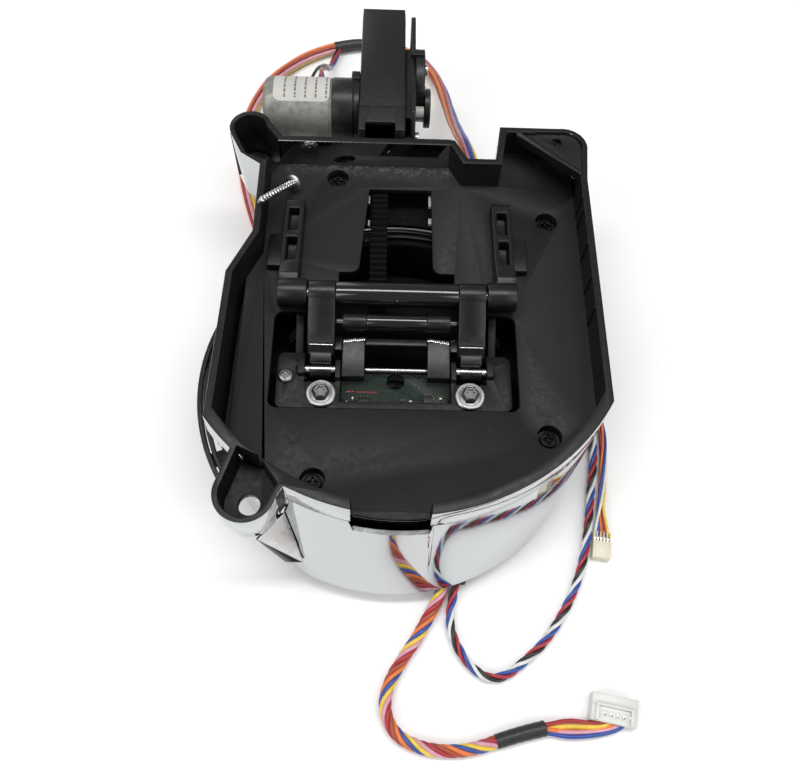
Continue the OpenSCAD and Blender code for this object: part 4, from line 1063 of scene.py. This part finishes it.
def board_parts():
    """Chips, capacitors and a red marking line on the carrier board."""
    random.seed(11)
    tan, dark, metal_parts, red = (bmesh.new() for _ in range(4))
    top = 31.22
    chips = [(-10.5, -7.6, 3.4, 2.6), (2.5, -8.2, 2.2, 1.8), (10.8, -6.6, 2.8, 2.8), (-3.4, -9.4, 1.6, 1.2)]
    for x, y, w, d in chips:
        rounded_box(dark, (x - w / 2, y - d / 2, top), (x + w / 2, y + d / 2, top + 0.8), 0.08)
        for side in (-1, 1):
            for k in range(3):
                px = x - w / 3 + k * w / 3
                py = y + side * (d / 2 + 0.25)
                rounded_box(metal_parts, (px - 0.14, py - 0.3, top), (px + 0.14, py + 0.3, top + 0.25), 0.04)
    for _ in range(26):
        x, y = random.uniform(-16.5, 16.5), random.uniform(-10.6, -5.4)
        if any(abs(x - c[0]) < c[2] and abs(y - c[1]) < c[3] for c in chips):
            continue
        if math.hypot(x, y) < 4:
            continue
        w, d = random.choice([(0.9, 0.5), (0.5, 0.9), (1.2, 0.7)])
        mesh = random.choice([tan, dark])
        rounded_box(mesh, (x - w / 2, y - d / 2, top), (x + w / 2, y + d / 2, top + 0.4), 0.05)
    for k in range(3):
        rounded_box(red, (-16.2 + k * 0.9, -4.4, top), (-15.6 + k * 0.9, -3.9, top + 0.3), 0.05)
    rounded_box(red, (-13.2, -4.3, top), (-6, -4.1, top + 0.12), 0.03)
    from_bmesh("board_chips", dark, ["black_part"], "carriage")
    from_bmesh("board_capacitors", tan, ["cream_nylon"], "carriage")
    from_bmesh("board_pins", metal_parts, ["bright_steel"], "carriage")
    from_bmesh("board_marks", red, ["wire_red"], "carriage")


def slot_pads():
    """Pale guide pads that show at the sides of the drive slot."""
    bm = bmesh.new()
    pads = [(11.3, 12.6, 70.6, 75.6), (11.2, 12.5, 62.6, 65)]
    pads += [(-11, -10.3, 71.5, 75.2), (-10.9, -10.2, 61.2, 63.6)]
    for x0, x1, y0, y1 in pads:
        rounded_box(bm, (x0, y0, 35), (x1, y1, 36.4), 0.15)
    from_bmesh("slot_pads", bm, ["white_acetal"], "housing")


# ---------- making the scene ----------

REFINED = {
    "drum_shell": 0.3,
    "guard_hoop": 0.25,
    "base_ring": 0.25,
    "rear_cover": 0.25,
    "ear_gusset": 0.25,
    "case_screws": 0.12,
    "hinge_bracket_left": 0.3,
    "hinge_bracket_right": 0.3,
    "arm_pivot_pins": 0.2,
    "link_pivot_pins": 0.15,
    "cable_grommets": 0.2,
    "gearbox_case": 0.35,
    "gearbox_cover": 0.25,
    "gear_hub_cover": 0.35,
    "gearbox_screws": 0.15,
    "limit_switch": 0.15,
    "motor_end_cap": 0.35,
    "lift_arm": 0.3,
    "cross_bar": 0.3,
    "arm_shaft": 0.2,
    "shaft_collars": 0.2,
    "front_rod": 0.12,
    "sector_gear": 0.06,
    "guide_links": 0.25,
    "carriage_bracket": 0.2,
    "carriage_pins": 0.2,
    "carrier_board": 0.08,
    "board_connector": 0.12,
    "scanner_base": 0.25,
    "head_cap": 0.5,
    "spin_stator": 0.15,
    "spin_bearing": 0.15,
    "encoder_ring": 0.1,
    "turret_shell": 0.3,
    "turret_hub": 0.2,
    "magnet_ring": 0.2,
    "turret_board": 0.08,
    "emitter_barrel": 0.15,
    "receiver_barrel": 0.15,
    "turret_lenses": 0.2,
    "lift_rack": 0.08,
    "drive_pinion": 0.08,
}

# Pieces that look different from the rest of their slot
LOOK_FOR = {"case_screws": "black_oxide", "turret_hub": "black_oxide", "spin_bearing": "black_oxide"}
LOOK_FOR["carriage_bracket"] = "matte_black_tray"
# These pieces take the darker, rougher black in place of their slots' look: painted shade for the shadow
# they sit in.
PAINTED_SHADE_PIECES = ("drum_shell", "base_ring", "scanner_base", "head_cap", "lift_rack", "sector_gear")
PAINTED_SHADE_PIECES += ("turret_shell", "encoder_ring", "rear_cover")
for hidden in PAINTED_SHADE_PIECES:
    LOOK_FOR[hidden] = "painted_shade_black"
BRIGHT_FACES = {
    "ear_gusset": lambda p, n: n.x > 0.3 and n.z > 0.15,
    "drum_shell": lambda p, n: p.y < -8 and n.dot(p) > 20,
}


def lift_details():
    """Serrated bright steel teeth below the collars and thin bright steel strips on the arms: painted
    highlights that stand in for glints and edge highlights. Also a gate mark on the bar.
    """
    random.seed(3)
    bm = bmesh.new()
    # Bright steel bits where glints and edge highlights fall: painted highlights.
    for side in (-1, 1):
        for k in range(12):
            x = side * (10.7 + 0.6 * k)
            y = 12.2 - 0.09 * k + random.uniform(-0.15, 0.15)
            z = 38.3 + random.uniform(-0.1, 0.1)
            rounded_box(bm, (x - 0.24, y - 0.7, z), (x + 0.24, y + 0.5, z + 0.5), 0.08)
        rounded_box(bm, (side * 24.8 - 3.9, 7.5, 41.6), (side * 24.8 + 3.9, 7.9, 42.0), 0.08)
        rounded_box(bm, (side * 17 - 0.35, 2.1, 35.6), (side * 17 + 0.35, 2.8, 36.2), 0.1)
    from_bmesh("lift_painted_highlights", bm, ["bright_steel"], "lift_arm")
    bm = bmesh.new()
    lathe(bm, [(0.95, -0.5), (0.9, 0.15), (0.65, 0.45), (0, 0.55)], (0, 21.8, 46.75), (0, -0.9, 0.44), 24)
    bmesh.ops.recalc_face_normals(bm, faces=bm.faces)
    from_bmesh("gate_mark", bm, ["gloss_black"], "lift_arm")


def studio():
    """Pale floor, soft even light, and a long strip light above and behind."""
    mesh = bpy.data.meshes.new("floor")
    half, z = 4.0, -0.0002
    corners = [(-half, -half, z), (half, -half, z), (half, half, z), (-half, half, z)]
    mesh.from_pydata(corners, [], [(0, 1, 2, 3)])
    floor = bpy.data.objects.new("floor", mesh)
    bpy.context.scene.collection.objects.link(floor)
    mesh.materials.append(floor_paper("floor_paper"))
    world = bpy.data.worlds.new("studio")
    world.use_nodes = True
    world.node_tree.nodes["Background"].inputs["Color"].default_value = (1.0, 1.0, 1.0, 1)
    world.node_tree.nodes["Background"].inputs["Strength"].default_value = 0.3
    bpy.context.scene.world = world
    bpy.context.scene.view_settings.view_transform = "Standard"
    lights = (
        ("key_left", (-0.95, -0.7, 0.85), 0.9, 0.9, 8.0),
        ("key_right", (1.0, -0.6, 0.85), 0.9, 0.9, 7.0),
        ("strip_top", (0.0, 0.15, 1.2), 1.4, 0.24, 11.0),
        ("low_back", (-0.7, 1.3, 0.5), 0.8, 0.8, 3.0),
    )
    for name, place, width, height, power in lights:
        data = bpy.data.lights.new(name, "AREA")
        data.shape = "RECTANGLE"
        data.size, data.size_y = width, height
        data.energy = power
        light = bpy.data.objects.new(name, data)
        bpy.context.scene.collection.objects.link(light)
        light.location = place
        aim = Vector((0, 0.02, 0.03)) - light.location
        light.rotation_euler = aim.to_track_quat("-Z", "Y").to_euler()


make_camera()
make_main_lead()
make_loop_lead()
make_sensor_lead()
make_rear_harness()
make_motor_lead()
tray()
front_band()
tray_details()
threaded_screw()
carriage_fixings()
motor()
gearbox_details()
board_parts()
slot_pads()
lift_details()
for node_name, edge in REFINED.items():
    film = "soft_mirror" if node_name == "ear_gusset" else "mirror_film"
    refined(node_name, edge, LOOK_FOR.get(node_name), BRIGHT_FACES.get(node_name), film)
studio()
